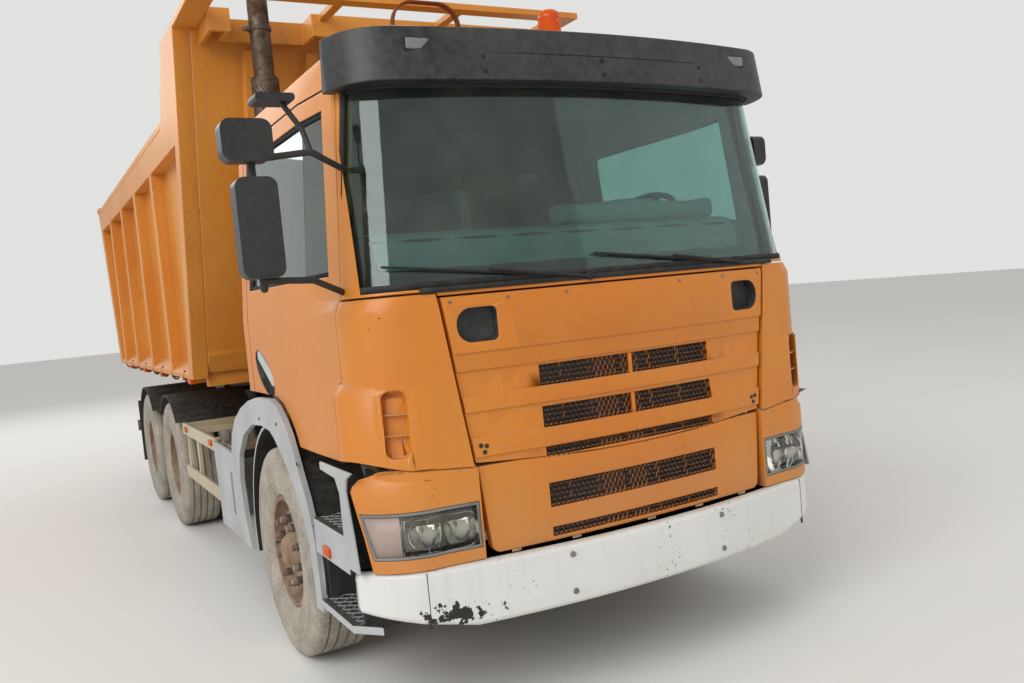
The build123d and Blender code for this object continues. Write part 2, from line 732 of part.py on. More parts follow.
def dashboard():
    """Dashboard across the cab with its cowl over the instruments."""
    shape = side_prism([(419, TUNNEL_Z), (419, 1860), (455, 2015), (600, 2045), (655, 1960),
                        (640, TUNNEL_Z)], (-1080, 1080))
    return shape & cab_form(CAB_WALL + 12)


def steering_wheel():
    """Steering wheel on its column, which ends at the dashboard."""
    rim = Torus(225, 16)
    spokes = Box(430, 40, 16) + Box(40, 430, 16)
    hub = Cylinder(55, 50)
    wheel = Pos(720, 860, 2050) * Rot(X=-38) * (rim + spokes + hub)
    column = rod((720, 583, 1695), (720, 848, 2035), 34) - dashboard()
    return wheel + max(column.solids(), key=lambda s: s.volume)


def seats():
    """Driver's and passenger's seats, each a cushion, back and pedestal."""
    found = []
    for side in (1, -1):
        x = sorted((side * 465, side * 960)) if side > 0 else (-960, -465)
        pedestal = block((x[0] + 90, x[1] - 90), (1200, 1640), (1380, 1600))
        cushion = block(x, (1130, 1680), (1600, 1740))
        back = side_prism([(1600, 1740), (1720, 1740), (1850, 2440), (1750, 2450)], x)
        found += (pedestal + cushion + back).solids()
    return found


def mirror_unit(heads, tubes, axis):
    """Rounded mirror heads on bent tubes that end at the cab; axis is the heads' facing."""
    shape = Part()
    for x, y, z in heads:
        head = block(x, y, z)
        shape += fillet(head.edges().filter_by(axis), min(38, 0.4 * (z[1] - z[0])))
    for start, end, radius in tubes:
        shape += rod(start, end, radius) + Pos(*start) * Sphere(radius)
    shape -= cab_form()
    return max(shape.solids(), key=lambda solid: solid.volume)


# Front of the chassis

def bumper():
    """Pressed steel bumper, bowed in plan with rounded ends."""
    half = BUMPER_HALF

    def plan(inset, end_y):
        bow = (BUMPER_BOW[0] - 0.3 * inset, BUMPER_BOW[1] + inset)
        turn = (BUMPER_TURN[0] - 0.7 * inset, BUMPER_TURN[1] + 0.7 * inset)
        side = (half - inset, BUMPER_SIDE_Y)
        end = (half - inset, end_y)
        left = [(-x, y) for x, y in (bow, turn, side, end)]
        return make_face([
            ThreePointArc(left[0], (0, inset), bow),
            ThreePointArc(bow, turn, side),
            Line(side, end),
            Line(end, left[3]),
            Line(left[3], left[2]),
            ThreePointArc(left[2], left[1], left[0]),
        ])

    outer = extrude(Pos(0, 0, BUMPER_Z[0]) * plan(0, BUMPER_END_Y), BUMPER_Z[1] - BUMPER_Z[0])
    inner = extrude(Pos(0, 0, BUMPER_Z[0] - 1) * plan(60, BUMPER_END_Y + 1), BUMPER_Z[1] - BUMPER_Z[0] + 2)
    skin = outer - inner
    edge = ((BUMPER_END_X, BUMPER_Z[0] - 1), (half + 10, BUMPER_Z[0] - 1),
            (half + 10, BUMPER_Z[0] + BUMPER_END_RISE))
    for side in (1, -1):
        skin -= front_prism([(side * x, z) for x, z in edge], (-50, BUMPER_END_Y + 50))
    brackets = block((380, 430), (55, RAIL_Y[0]), (600, 700)) + block((380, 430), (RAIL_Y[0], 520), (680, RAIL_Z[0]))
    brackets += block((380, 430), (RAIL_Y[0] - 30, RAIL_Y[0]), (680, RAIL_Z[0]))
    return skin + brackets + mirrored(brackets)


def lower_front_panel():
    """Fixed panel between the lamps, below the flap, with two rows of mesh."""
    low, high = LOWER_PANEL_HALF
    z = LOWER_PANEL_Z
    region = front_prism([(-low, z[0]), (low, z[0]), (high, z[1]), (-high, z[1])], (-100, 300))
    foot = region.edges().filter_by(Axis.Y).group_by(Axis.Z)[0]
    panel = skin(fillet(foot, 38), LOWER_PANEL_INSET, LOWER_PANEL_INSET + 40)
    panel &= tilt_cut(0)
    for row in LOWER_MESH_Z:
        pocket = block((-MESH_HALF, MESH_HALF), (-100, 200), row)
        panel -= skin(pocket, 0, LOWER_PANEL_INSET + MESH_DEPTH)
    stays = block((400, 425), (95, RAIL_Y[0]), (800, 860))
    return panel + stays + mirrored(stays)


def lamp_region(gap):
    """Headlamp's opening on the driver's side, drawn in by gap."""
    foot, head = LAMP_REAR_Y[0] - gap, LAMP_REAR_Y[1] - gap
    low, high = LAMP_Z[0] + gap, LAMP_Z[1] - gap
    return side_prism([(-100, low), (-100, high), (head, high), (foot, low)], (LAMP_X + gap, 1300))


def lamp_units():
    """Painted corner housings under the corner panels, round the headlamps."""
    x = (LOWER_PANEL_HALF[1] + SEAM, 1300)
    region = side_prism([(-100, LAMP_UNIT_Z[0]), (-100, LAMP_UNIT_Z[1]), *LAMP_UNIT_REAR], x)
    unit = skin(region, 0, 90)
    unit &= tilt_cut(0)
    unit -= lamp_region(0)
    unit += block((790, 860), (150, 490), (LAMP_UNIT_Z[0], LAMP_Z[0] - 2))
    unit += block((RAIL_X, 860), (445, 490), (LAMP_UNIT_Z[0], 760))
    return solids_of(unit, mirrored(unit))


def headlamps():
    """Headlamp and turn lamp behind one clear lens a side."""
    lens = skin(lamp_region(2), 4, 80)
    return solids_of(lens, mirrored(lens))


def entry_steps():
    """Grey step units under the doors: two open treads, each backed and walled in front."""
    back, outer = STEP_X
    front, rear = STEP_Y
    unit = block((back, back + 16), STEP_Y, (LOW_TREAD_Z[0], STEP_WALL_TOP))
    unit += block((back, outer), STEP_Y, (HIGH_TREAD_Z[0], HIGH_TREAD_Z[1]))
    unit += block((outer - 22, outer), STEP_Y, (RISER_FOOT_Z, HIGH_TREAD_Z[1]))
    unit += side_prism(STEP_FLANGE, (outer - STEP_SKIN, outer))
    nose = front - LOW_TREAD_NOSE
    low = block((back, outer), (nose, rear), LOW_TREAD_Z)
    low -= block((back - 20, outer - 90), (nose - 10, front), (400, 520))
    corner = Plane.XY.offset(LOW_TREAD_Z[0] - 5) * make_face(Polyline(
        (outer - 95, nose - 5), (outer + 5, nose - 5), (outer + 5, front + 40), close=True))
    unit += low - extrude(corner, LOW_TREAD_Z[1] - LOW_TREAD_Z[0] + 10)
    unit += block((back, outer - STEP_SKIN + 4), (front, front + 14), (HIGH_TREAD_Z[0], STEP_WALL_TOP))
    unit += block((back, outer - 40), (front, front + 14), (LOW_TREAD_Z[0], RISER_FOOT_Z + 30))
    unit += block((back, outer - 40), (rear - 14, rear), (LOW_TREAD_Z[0], RISER_FOOT_Z + 30))
    unit += block((RAIL_X, back + 5), (500, 560), (800, 850))
    return solids_of(unit, mirrored(unit))


def front_mudguards():
    """Arches over the front wheels, each with a broad lip and a flat panel behind."""
    y, z = FRONT_AXLE_Y, AXLE_Z
    foot = 400
    plate = cross_bar(y, z, (935, LIP_X[0] + 4), GUARD_R[1])
    plate -= cross_bar(y, z, (900, 1250), GUARD_R[0])
    plate -= block((900, 1300), (0, 3000), (-400, foot))
    outer = [(835, foot), (836, 560), (850, 700), (885, 820), (925, 905), (985, 985)]
    outer += [(py + 9, pz - 9) for py, pz in ARCH_LINE[1:]]
    outer += [(1700, 1322), (1900, 1292), (2100, 1240), (2298, 1160), (2430, 1055), (2505, 930),
              (2490, 780), (2440, 600), (2380, foot)]
    inner = [(2200, foot), (2300, 600), (2330, 800), (2275, 950), (2100, 1085), (1860, 1165),
             (1640, 1178), (1477, 1165), (1390, 1130), (1285, 1065), (1190, 1000), (1100, 925),
             (1000, 800), (945, 680), (928, 534), (928, foot)]
    lip = side_prism(outer + inner, LIP_X)
    cover = side_prism([(2380, foot), (2440, 600), (2490, 780), (2500, 925), (3120, 945),
                        (3060, foot)], (LIP_X[0], LIP_X[1] - 8))
    cover -= block((1150, 1250), (2590, 2650), (530, 800))
    stay = block((RAIL_X, 990), (2040, 2090), (880, 930))
    stay += block((960, 990), (2040, 2600), (880, 930))
    stay += block((960, LIP_X[1] - 8), (2560, 2600), (880, 930))
    arch = plate + lip + cover + stay
    return solids_of(arch, mirrored(arch))


# Sides and rear of the chassis

def side_tanks():
    """Fuel tank on the driver's side and air tanks with the battery box on the other."""
    fuel = block((560, 1140), (2750, 3900), (430, 1000))
    fuel += block((RAIL_X, 570), (2900, 2960), (800, 900)) + block((RAIL_X, 570), (3700, 3760), (800, 900))
    battery = block((-1140, -620), (2750, 3350), (480, 900))
    battery += block((-640, -RAIL_X), (2900, 2960), (800, 880))
    air = rod((-900, 3450, 640), (-900, 4300, 640), 140) + block((-800, -RAIL_X), (3700, 3760), (780, 840))
    air += block((-960, -780), (3700, 3760), (700, 840))
    return solids_of(fuel, battery, air)


def side_guards():
    """Rails along the open sides between the axles."""
    rails = Part()
    for z in (520, 860):
        rails += block((1190, 1215), (3160, 4480), (z, z + 90))
    for y in (3200, 3960, 4380):
        rails += block((1165, 1195), (y, y + 50), (520, 950))
    for y in (3960, 4380):
        rails += block((RAIL_X, 1190), (y, y + 50), (900, 950))
    rails = max(rails.solids(), key=lambda s: s.volume)
    return solids_of(rails, mirrored(rails))


def exhaust_stack():
    """Upright exhaust behind the cab with its heat shield and clamp."""
    x, y = -800, 2480
    pipe = rod((x, y, 1120), (x, y, 3680), 62)
    shield = rod((x, y, 1500), (x, y, 3200), 80)
    silencer = rod((x, y, 700), (x, y, 1400), 150)
    clamp = rod((x, y, 3480), (x, y, 3510), 70)
    foot = block((x + 40, -RAIL_X), (y - 40, y + 40), (860, 920))
    return pipe + shield + silencer + clamp + foot


def rear_mudguards():
    """Curved guards over the rear wheels and the flap behind the last."""
    found = []
    for y in REAR_AXLES_Y:
        guard = cross_bar(y, AXLE_Z, (600, 1236), 605) - cross_bar(y, AXLE_Z, (500, 1300), 590)
        guard -= block((500, 1300), (y - 700, y + 700), (-300, 930))
        guard += block((RAIL_X, 620), (y - 20, y + 20), (AXLE_Z + 560, AXLE_Z + 600))
        guard += block((RAIL_X, 460), (y - 20, y + 20), (960, AXLE_Z + 600))
        found += solids_of(guard, mirrored(guard))
    flap = block((620, 1236), (7200, 7212), (320, 960)) + block((RAIL_X, 640), (7190, 7230), (900, 960))
    return found + solids_of(flap, mirrored(flap))


def rear_lamp_bar():
    """Underrun beam with the rear lamps and a blank plate."""
    beam = block((-1180, 1180), UNDERRUN_Y, (560, 680))
    front, rear = UNDERRUN_Y
    for side in (1, -1):
        beam += block(sorted((side * 700, side * 1120)), (rear - 5, rear + 60), (570, 670))
        beam += block(sorted((side * 360, side * 420)), (front - 130, front + 5), (590, 650))
        beam += block(sorted((side * 360, side * 420)), (front - 130, front - 60), (590, RAIL_Z[0]))
    return beam


# Tipping body

def post_y(z):
    """Front face of the body's front post at a height."""
    along = (z - BODY_BOTTOM_Z) / (POST_HEAD_Z - BODY_BOTTOM_Z)
    return POST_FOOT_Y + along * (POST_HEAD_Y - POST_FOOT_Y)


def tail_y(z):
    """Rear face of the body's rear post at a height."""
    along = (z - BODY_BOTTOM_Z) / (BODY_TOP_Z - BODY_BOTTOM_Z)
    return TAIL_FOOT_Y + along * (TAIL_HEAD_Y - TAIL_FOOT_Y)


def body_floor():
    """Floor plate on cross bearers and two long runners, with the hinge lugs."""
    z = BODY_FLOOR_Z
    front, rear = post_y(z) + 30, tail_y(z) - 40
    sheet_x = SIDE_SHEET[0] - 1
    shape = block((-sheet_x, sheet_x), (front, rear), (z, z + 12))
    count = int((rear - front) // BEARER_PITCH)
    for index in range(count + 1):
        y = front + 30 + index * BEARER_PITCH
        shape += block((-sheet_x, sheet_x), (y, y + 70), (1280, z))
    shape += block((-sheet_x, sheet_x), (rear - 70, rear), (1280, z))
    for side in (1, -1):
        x = sorted((side * 350, side * 430))
        shape += block(x, (front, rear), (SUBFRAME_TOP + MOVING_GAP, 1290))
        lug_x = sorted((side * 436, side * 466))
        lug = block(lug_x, (TIP_Y - 60, TIP_Y + 60), (TIP_Z, 1300)) + cross_bar(TIP_Y, TIP_Z, lug_x, 60)
        lug += block(sorted((side * 425, side * 440)), (TIP_Y - 60, TIP_Y + 60), (1200, 1300))
        shape += lug
    return shape - cross_bar(TIP_Y, TIP_Z, (-600, 600), TIP_PIN_R + RUNNING_GAP)


def canopy_arm():
    """Flat arm that reaches forward from the front post's head on the driver's side."""
    x = (SIDE_SHEET[0] - 40, BODY_OUTER)
    return block(x, (CANOPY_Y[0], post_y(POST_HEAD_Z) + 100), CANOPY_ARM_Z)


def body_side():
    """Driver's side of the body: sheet, leaning posts, ribs, top and bottom rails."""
    inner, sheet = SIDE_SHEET
    low, top = BODY_BOTTOM_Z, BODY_TOP_Z
    outline = [
        (post_y(low), low), (post_y(POST_HEAD_Z), POST_HEAD_Z), *SHOULDER_LINE,
        (tail_y(top), top), (tail_y(low), low),
    ]
    side = side_prism(outline, (inner, sheet))
    side += side_prism([(post_y(top), top), (post_y(POST_HEAD_Z), POST_HEAD_Z), *SHOULDER_LINE],
                       (sheet - 1, BODY_OUTER))
    side += side_prism(
        [(post_y(TOP_RAIL_Z), TOP_RAIL_Z), (post_y(top), top), (tail_y(top), top),
         (tail_y(TOP_RAIL_Z), TOP_RAIL_Z)],
        (sheet - 1, BODY_OUTER),
    )
    rail = [(sheet - 1, low), (BODY_OUTER, low), (BODY_OUTER, low + 35), (sheet - 1, low + 110)]
    side += front_prism(rail, (post_y(low), tail_y(low)))
    side += side_prism(
        [(post_y(low), low), (post_y(POST_HEAD_Z), POST_HEAD_Z),
         (post_y(POST_HEAD_Z) + 150, POST_HEAD_Z), (post_y(low) + 150, low)],
        (sheet - 1, BODY_OUTER),
    )
    side += side_prism(
        [(tail_y(low) - 160, low), (tail_y(top) - 160, top), (tail_y(top), top),
         (tail_y(low), low)],
        (sheet - 1, BODY_OUTER),
    )
    for index in range(RIB_COUNT):
        y = FIRST_RIB_Y + index * RIB_PITCH
        side += block((sheet - 1, BODY_OUTER), (y, y + RIB_W), (low + 20, TOP_RAIL_Z + 5))
    side += cross_bar(TAIL_HEAD_Y, top, (inner, BODY_OUTER), HINGE_LUG_R)
    side -= cross_bar(TAIL_HEAD_Y, top, (inner - 20, BODY_OUTER + 20), HINGE_PIN_R + RUNNING_GAP)
    return side + canopy_arm()


def canopy_shelf():
    """Shallow box over the headboard, notched for the exhaust, and the bar ahead of it."""
    half = SIDE_SHEET[0] - 42
    front, rear = CANOPY_Y[1], post_y(POST_HEAD_Z) + 10
    shelf = block((-half, half), (front, rear), (CANOPY_Z[1] - 30, CANOPY_Z[1]))
    shelf += block((-half, half), (front, front + 30), CANOPY_Z)
    for side in (1, -1):
        shelf += block(sorted((side * (half - 30), side * half)), (front, rear), CANOPY_Z)
    left, right = CANOPY_NOTCH_X
    shelf -= block(CANOPY_NOTCH_X, (front - 10, CANOPY_NOTCH_Y), (CANOPY_Z[0] - 10, CANOPY_Z[1] + 10))
    shelf += block((left - 30, left), (front, CANOPY_NOTCH_Y + 30), CANOPY_Z)
    shelf += block((right, right + 30), (front, CANOPY_NOTCH_Y + 30), CANOPY_Z)
    shelf += block((left - 30, right + 30), (CANOPY_NOTCH_Y, CANOPY_NOTCH_Y + 30), CANOPY_Z)
    shelf += block((-half - 2, half + 2), (CANOPY_Y[0], CANOPY_Y[0] + 100), CANOPY_ARM_Z)
    for x in (-400, 400):
        shelf += block((x - 30, x + 30), (CANOPY_Y[0] + 90, front + 10), CANOPY_ARM_Z)
    return shelf


def headboard():
    """Leaning front wall with its stiffeners, canopy shelf and hoist bracket."""
    x = SIDE_SHEET[0] - 1
    low = 1500
    wall = side_prism(
        [(post_y(low), low), (post_y(POST_HEAD_Z), POST_HEAD_Z),
         (post_y(POST_HEAD_Z) + 12, POST_HEAD_Z), (post_y(low) + 12, low)],
        (-x, x),
    )
    foot = side_prism(
        [(post_y(1380) + 15, 1380), (post_y(low) - 10, low), (post_y(low) - 10, low + 60),
         (post_y(low) + 12, low + 60), (post_y(low) + 12, low), (post_y(1380) + 29, 1380)],
        (-x, x),
    )
    for across in (-800, -400, 400, 800):
        wall += side_prism(
            [(post_y(low) - 60, low), (post_y(3440) - 60, 3440), (post_y(3440) + 5, 3440),
             (post_y(low) + 5, low)],
            (across - 40, across + 40),
        )
    shelf = canopy_shelf()
    eye_y, eye_z = HOIST_EYE
    bracket = Part()
    for side in (1, -1):
        bracket += side_prism(
            [(eye_y - 60, eye_z - 60), (eye_y - 60, eye_z + 60), (post_y(2900) + 4, 2900),
             (post_y(2550) + 4, 2550)],
            sorted((side * 60, side * 85)),
        )
    wall -= canopy_arm() + mirrored(canopy_arm())
    return wall + foot + shelf + bracket


def tailgate():
    """Tailgate between the rear posts, hung from its top corners."""
    low, top = 1380, BODY_TOP_Z
    x = SIDE_SHEET[0] - MOVING_GAP
    gate = side_prism(
        [(tail_y(low) - 30, low), (tail_y(top) - 30, top), (tail_y(top) - 20, top),
         (tail_y(low) - 20, low)],
        (-x, x),
    )
    for z in (low, 1950, 2500, top - 100):
        gate += side_prism(
            [(tail_y(z) - 22, z), (tail_y(z) + 30, z), (tail_y(z + 100) + 30, z + 100),
             (tail_y(z + 100) - 22, z + 100)],
            (-x, x),
        )
    for across in (-x + 40, -380, 380, x - 40):
        gate += side_prism(
            [(tail_y(low) - 22, low), (tail_y(top) - 22, top), (tail_y(top) + 45, top),
             (tail_y(low) + 45, low)],
            (across - 40, across + 40),
        )
    for side in (1, -1):
        gate += cross_bar(TAIL_HEAD_Y, top, sorted((side * (x - 70), side * x)), HINGE_LUG_R)
        gate += cross_bar(TAIL_HEAD_Y, top, sorted((side * (x - 60), side * (BODY_OUTER + 10))),
                          HINGE_PIN_R)
    return gate


# Hoist

def hoist_axis_point(distance):
    """Point on the hoist's axis, a distance from its foot towards its eye."""
    foot, eye = Vector(0, *HOIST_FOOT), Vector(0, *HOIST_EYE)
    return foot + (eye - foot).normalized() * distance


def hoist_tube(start, end, outer, inner=0):
    """Piece of the hoist along its axis."""
    tube = rod(hoist_axis_point(start), hoist_axis_point(end), outer)
    return tube - rod(hoist_axis_point(start - 1), hoist_axis_point(end + 1), inner) if inner else tube


def hoist_barrel():
    """Outer tube of the hoist on its two trunnions."""
    length = 1640
    tube = hoist_tube(-50, length, HOIST_R[0])
    tube -= hoist_tube(0, length + 10, HOIST_R[1] + 1)
    return tube + cross_bar(*HOIST_FOOT, (-152, -85), 25) + cross_bar(*HOIST_FOOT, (85, 152), 25)


def hoist_stage(index):
    """One inner tube of the hoist; the last carries the eye."""
    radius = HOIST_R[index]
    start, end = 5 + 10 * index, 1640 + 25 * index
    if index < 3:
        return hoist_tube(start, end, radius, HOIST_R[index + 1] + 1)
    reach = math.hypot(HOIST_EYE[0] - HOIST_FOOT[0], HOIST_EYE[1] - HOIST_FOOT[1])
    return hoist_tube(start, reach, radius) + cross_bar(*HOIST_EYE, (-50, 50), 55)


def main():
    """Builds and writes every sub-part."""
    os.makedirs("parts", exist_ok=True)
    wall = cab_wall()

    write("frame", frame())
    write("front_axle", front_axle())
    write("rear_axles", rear_axles())
    write("engine", engine())
    write("driveline", *driveline())
    write("bumper", bumper())
    write("lower_front_panel", lower_front_panel())
    write("lamp_units", *lamp_units())
    write("headlamps", *headlamps())
    write("entry_steps", *entry_steps())
    write("front_mudguards", *front_mudguards())
    write("side_tanks", *side_tanks())
    write("side_guards", *side_guards())
    write("exhaust_stack", exhaust_stack())
    write("rear_mudguards", *rear_mudguards())
    write("rear_lamp_bar", rear_lamp_bar())

    write("cab_shell", cab_shell(wall))
    write("windscreen", windscreen())
    write("corner_panels", *corner_panels(wall))
    write("front_flap", front_flap(wall))
    write("sun_visor", sun_visor())
    write("roof_fittings", *roof_fittings())
    write("dashboard", dashboard())
    write("steering_wheel", steering_wheel())
    write("seats", *seats())
    write("mirror_passenger", mirror_unit(MIRROR_HEADS, MIRROR_TUBES, Axis.Y))
    write("mirror_driver", mirror_unit(FOLDED_HEADS, FOLDED_TUBES, Axis.X))

    right_door, right_glass, right_handle = door(wall), door_glass(), door_handle()
    write("door_handle_driver", right_handle)
    write("door_handle_passenger", mirrored(right_handle))
    write("door_driver", right_door)
    write("door_glass_driver", right_glass)
    write("door_passenger", mirrored(right_door))
    write("door_glass_passenger", mirrored(right_glass))

    side = body_side()
    write("body_floor", body_floor())
    write("body_sides", side, mirrored(side))
    write("headboard", headboard())
    write("tailgate", tailgate())
    write("hoist_barrel", hoist_barrel())
    for index in (1, 2, 3):
        write(f"hoist_stage_{index}", hoist_stage(index))

    for side, name in ((1, "driver"), (-1, "passenger")):
        write(f"knuckle_{name}", knuckle(side))
        write(f"front_tyre_{name}", at_axle(tyre(side, 0), FRONT_AXLE_Y))
        write(f"front_rim_{name}", at_axle(front_rim(side), FRONT_AXLE_Y))
        for row, y in enumerate(REAR_AXLES_Y, 1):
            twin = at_axle(tyre(side, 0), y), at_axle(tyre(side, TWIN_PITCH), y)
            write(f"rear_tyres_{row}_{name}", *twin)
            write(f"rear_rims_{row}_{name}", at_axle(rear_rim(side), y))


main()
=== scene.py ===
"""Dressed model of a three-axle dump truck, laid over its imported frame.

Every piece is in metres in the frame's own axes: the truck faces -Y, +X is the
driver's side and the ground is z = 0. Lengths along the truck are given back from
the bumper's front face and moved to the frame's middle by at().
"""
from __future__ import annotations

import json
import logging
import math
from collections.abc import Callable, Sequence
from dataclasses import dataclass
from enum import Enum

import bmesh
import bpy
from mathutils import Matrix, Vector

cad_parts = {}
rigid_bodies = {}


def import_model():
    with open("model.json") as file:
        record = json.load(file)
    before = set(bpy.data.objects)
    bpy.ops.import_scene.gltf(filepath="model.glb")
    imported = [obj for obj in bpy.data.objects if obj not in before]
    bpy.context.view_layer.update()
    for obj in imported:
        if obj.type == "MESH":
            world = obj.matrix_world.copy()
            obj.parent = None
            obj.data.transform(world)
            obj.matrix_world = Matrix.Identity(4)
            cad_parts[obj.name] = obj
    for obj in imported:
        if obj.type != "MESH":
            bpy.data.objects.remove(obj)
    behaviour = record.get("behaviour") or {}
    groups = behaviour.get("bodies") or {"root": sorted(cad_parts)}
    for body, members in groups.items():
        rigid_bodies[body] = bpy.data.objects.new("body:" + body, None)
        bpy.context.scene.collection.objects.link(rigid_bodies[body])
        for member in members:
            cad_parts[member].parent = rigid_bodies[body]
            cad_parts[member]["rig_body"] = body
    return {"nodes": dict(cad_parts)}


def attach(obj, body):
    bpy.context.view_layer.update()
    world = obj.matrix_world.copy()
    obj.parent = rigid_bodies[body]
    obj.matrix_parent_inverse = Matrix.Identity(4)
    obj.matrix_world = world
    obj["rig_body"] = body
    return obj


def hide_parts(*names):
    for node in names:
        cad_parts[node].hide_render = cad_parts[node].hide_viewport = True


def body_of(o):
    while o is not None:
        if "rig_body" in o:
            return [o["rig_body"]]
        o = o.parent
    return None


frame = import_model()

log = logging.getLogger("dump_truck")

HALF_LENGTH = 4.4175
NOSE_Y = 0.045
NOSE_RADIUS = 6.187
BELT_Z = 1.790
SCREEN_RADIUS = 5.888
SCREEN_STEP = 0.005
SCREEN_LEAN = 0.105 / 0.85
SCREEN_TAPER = 0.9
AXLE_Z = 0.534
FRONT_AXLE_Y = 1.497
REAR_AXLES_Y = (5.134, 6.529)

SHARP_DEGREES = 35.0
ROUNDED_DEGREES = 32.0
SOFT_DEGREES = 60.0
BACK = Vector((0.0, 1.0, 0.0))
UP = Vector((0.0, 0.0, 1.0))

Colour = tuple[float, float, float, float]
Point = tuple[float, float, float]
Span = tuple[float, float]


def srgb(code: str) -> Colour:
    """Turns an sRGB hex code such as "e0922b" into a linear colour.

    Args:
        code: Six hex digits.

    Returns:
        Red, green, blue and an alpha of one.
    """
    channels = [int(code[start:start + 2], 16) / 255 for start in (0, 2, 4)]
    linear = [c / 12.92 if c <= 0.04045 else ((c + 0.055) / 1.055) ** 2.4 for c in channels]
    return (linear[0], linear[1], linear[2], 1.0)


def wire(tree: bpy.types.NodeTree, node: bpy.types.Node, settings: dict | None = None,
         links: dict | None = None) -> bpy.types.Node:
    """Sets a shader node's values and links what feeds it.

    Args:
        tree: Node tree that holds the node.
        node: The node.
        settings: Attributes by lower-case name, and socket values by label or number.
        links: Outputs that feed it, by socket label or number. A node stands for its first output in use.

    Returns:
        The node.
    """
    for key, value in (settings or {}).items():
        if isinstance(key, str) and key not in node.inputs:
            setattr(node, key, value)
        else:
            node.inputs[key].default_value = value
    for key, source in (links or {}).items():
        if isinstance(source, bpy.types.Node):
            source = next(output for output in source.outputs if output.enabled)
        tree.links.new(source, node.inputs[key])
    return node


def add_node(tree: bpy.types.NodeTree, kind: str, settings: dict | None = None,
             links: dict | None = None) -> bpy.types.Node:
    """Adds one shader node of a kind, with its settings and incoming links as wire() takes them."""
    return wire(tree, tree.nodes.new(kind), settings, links)


@dataclass(frozen=True)
class Finish:
    """A surface finish, made into one Blender material the first time it is asked for."""

    name: str
    slot: str = ""

    def material(self) -> bpy.types.Material:
        """The material of this finish, built once."""
        made = bpy.data.materials.get(self.name)
        if made is None:
            made = bpy.data.materials.new(self.name)
            made.use_nodes = True
            self.lay(made.node_tree, made.node_tree.nodes["Principled BSDF"])
        return made

    def lay(self, tree: bpy.types.NodeTree, shader: bpy.types.Node) -> None:
        """Wires the finish into its material's principled shader."""
        raise NotImplementedError


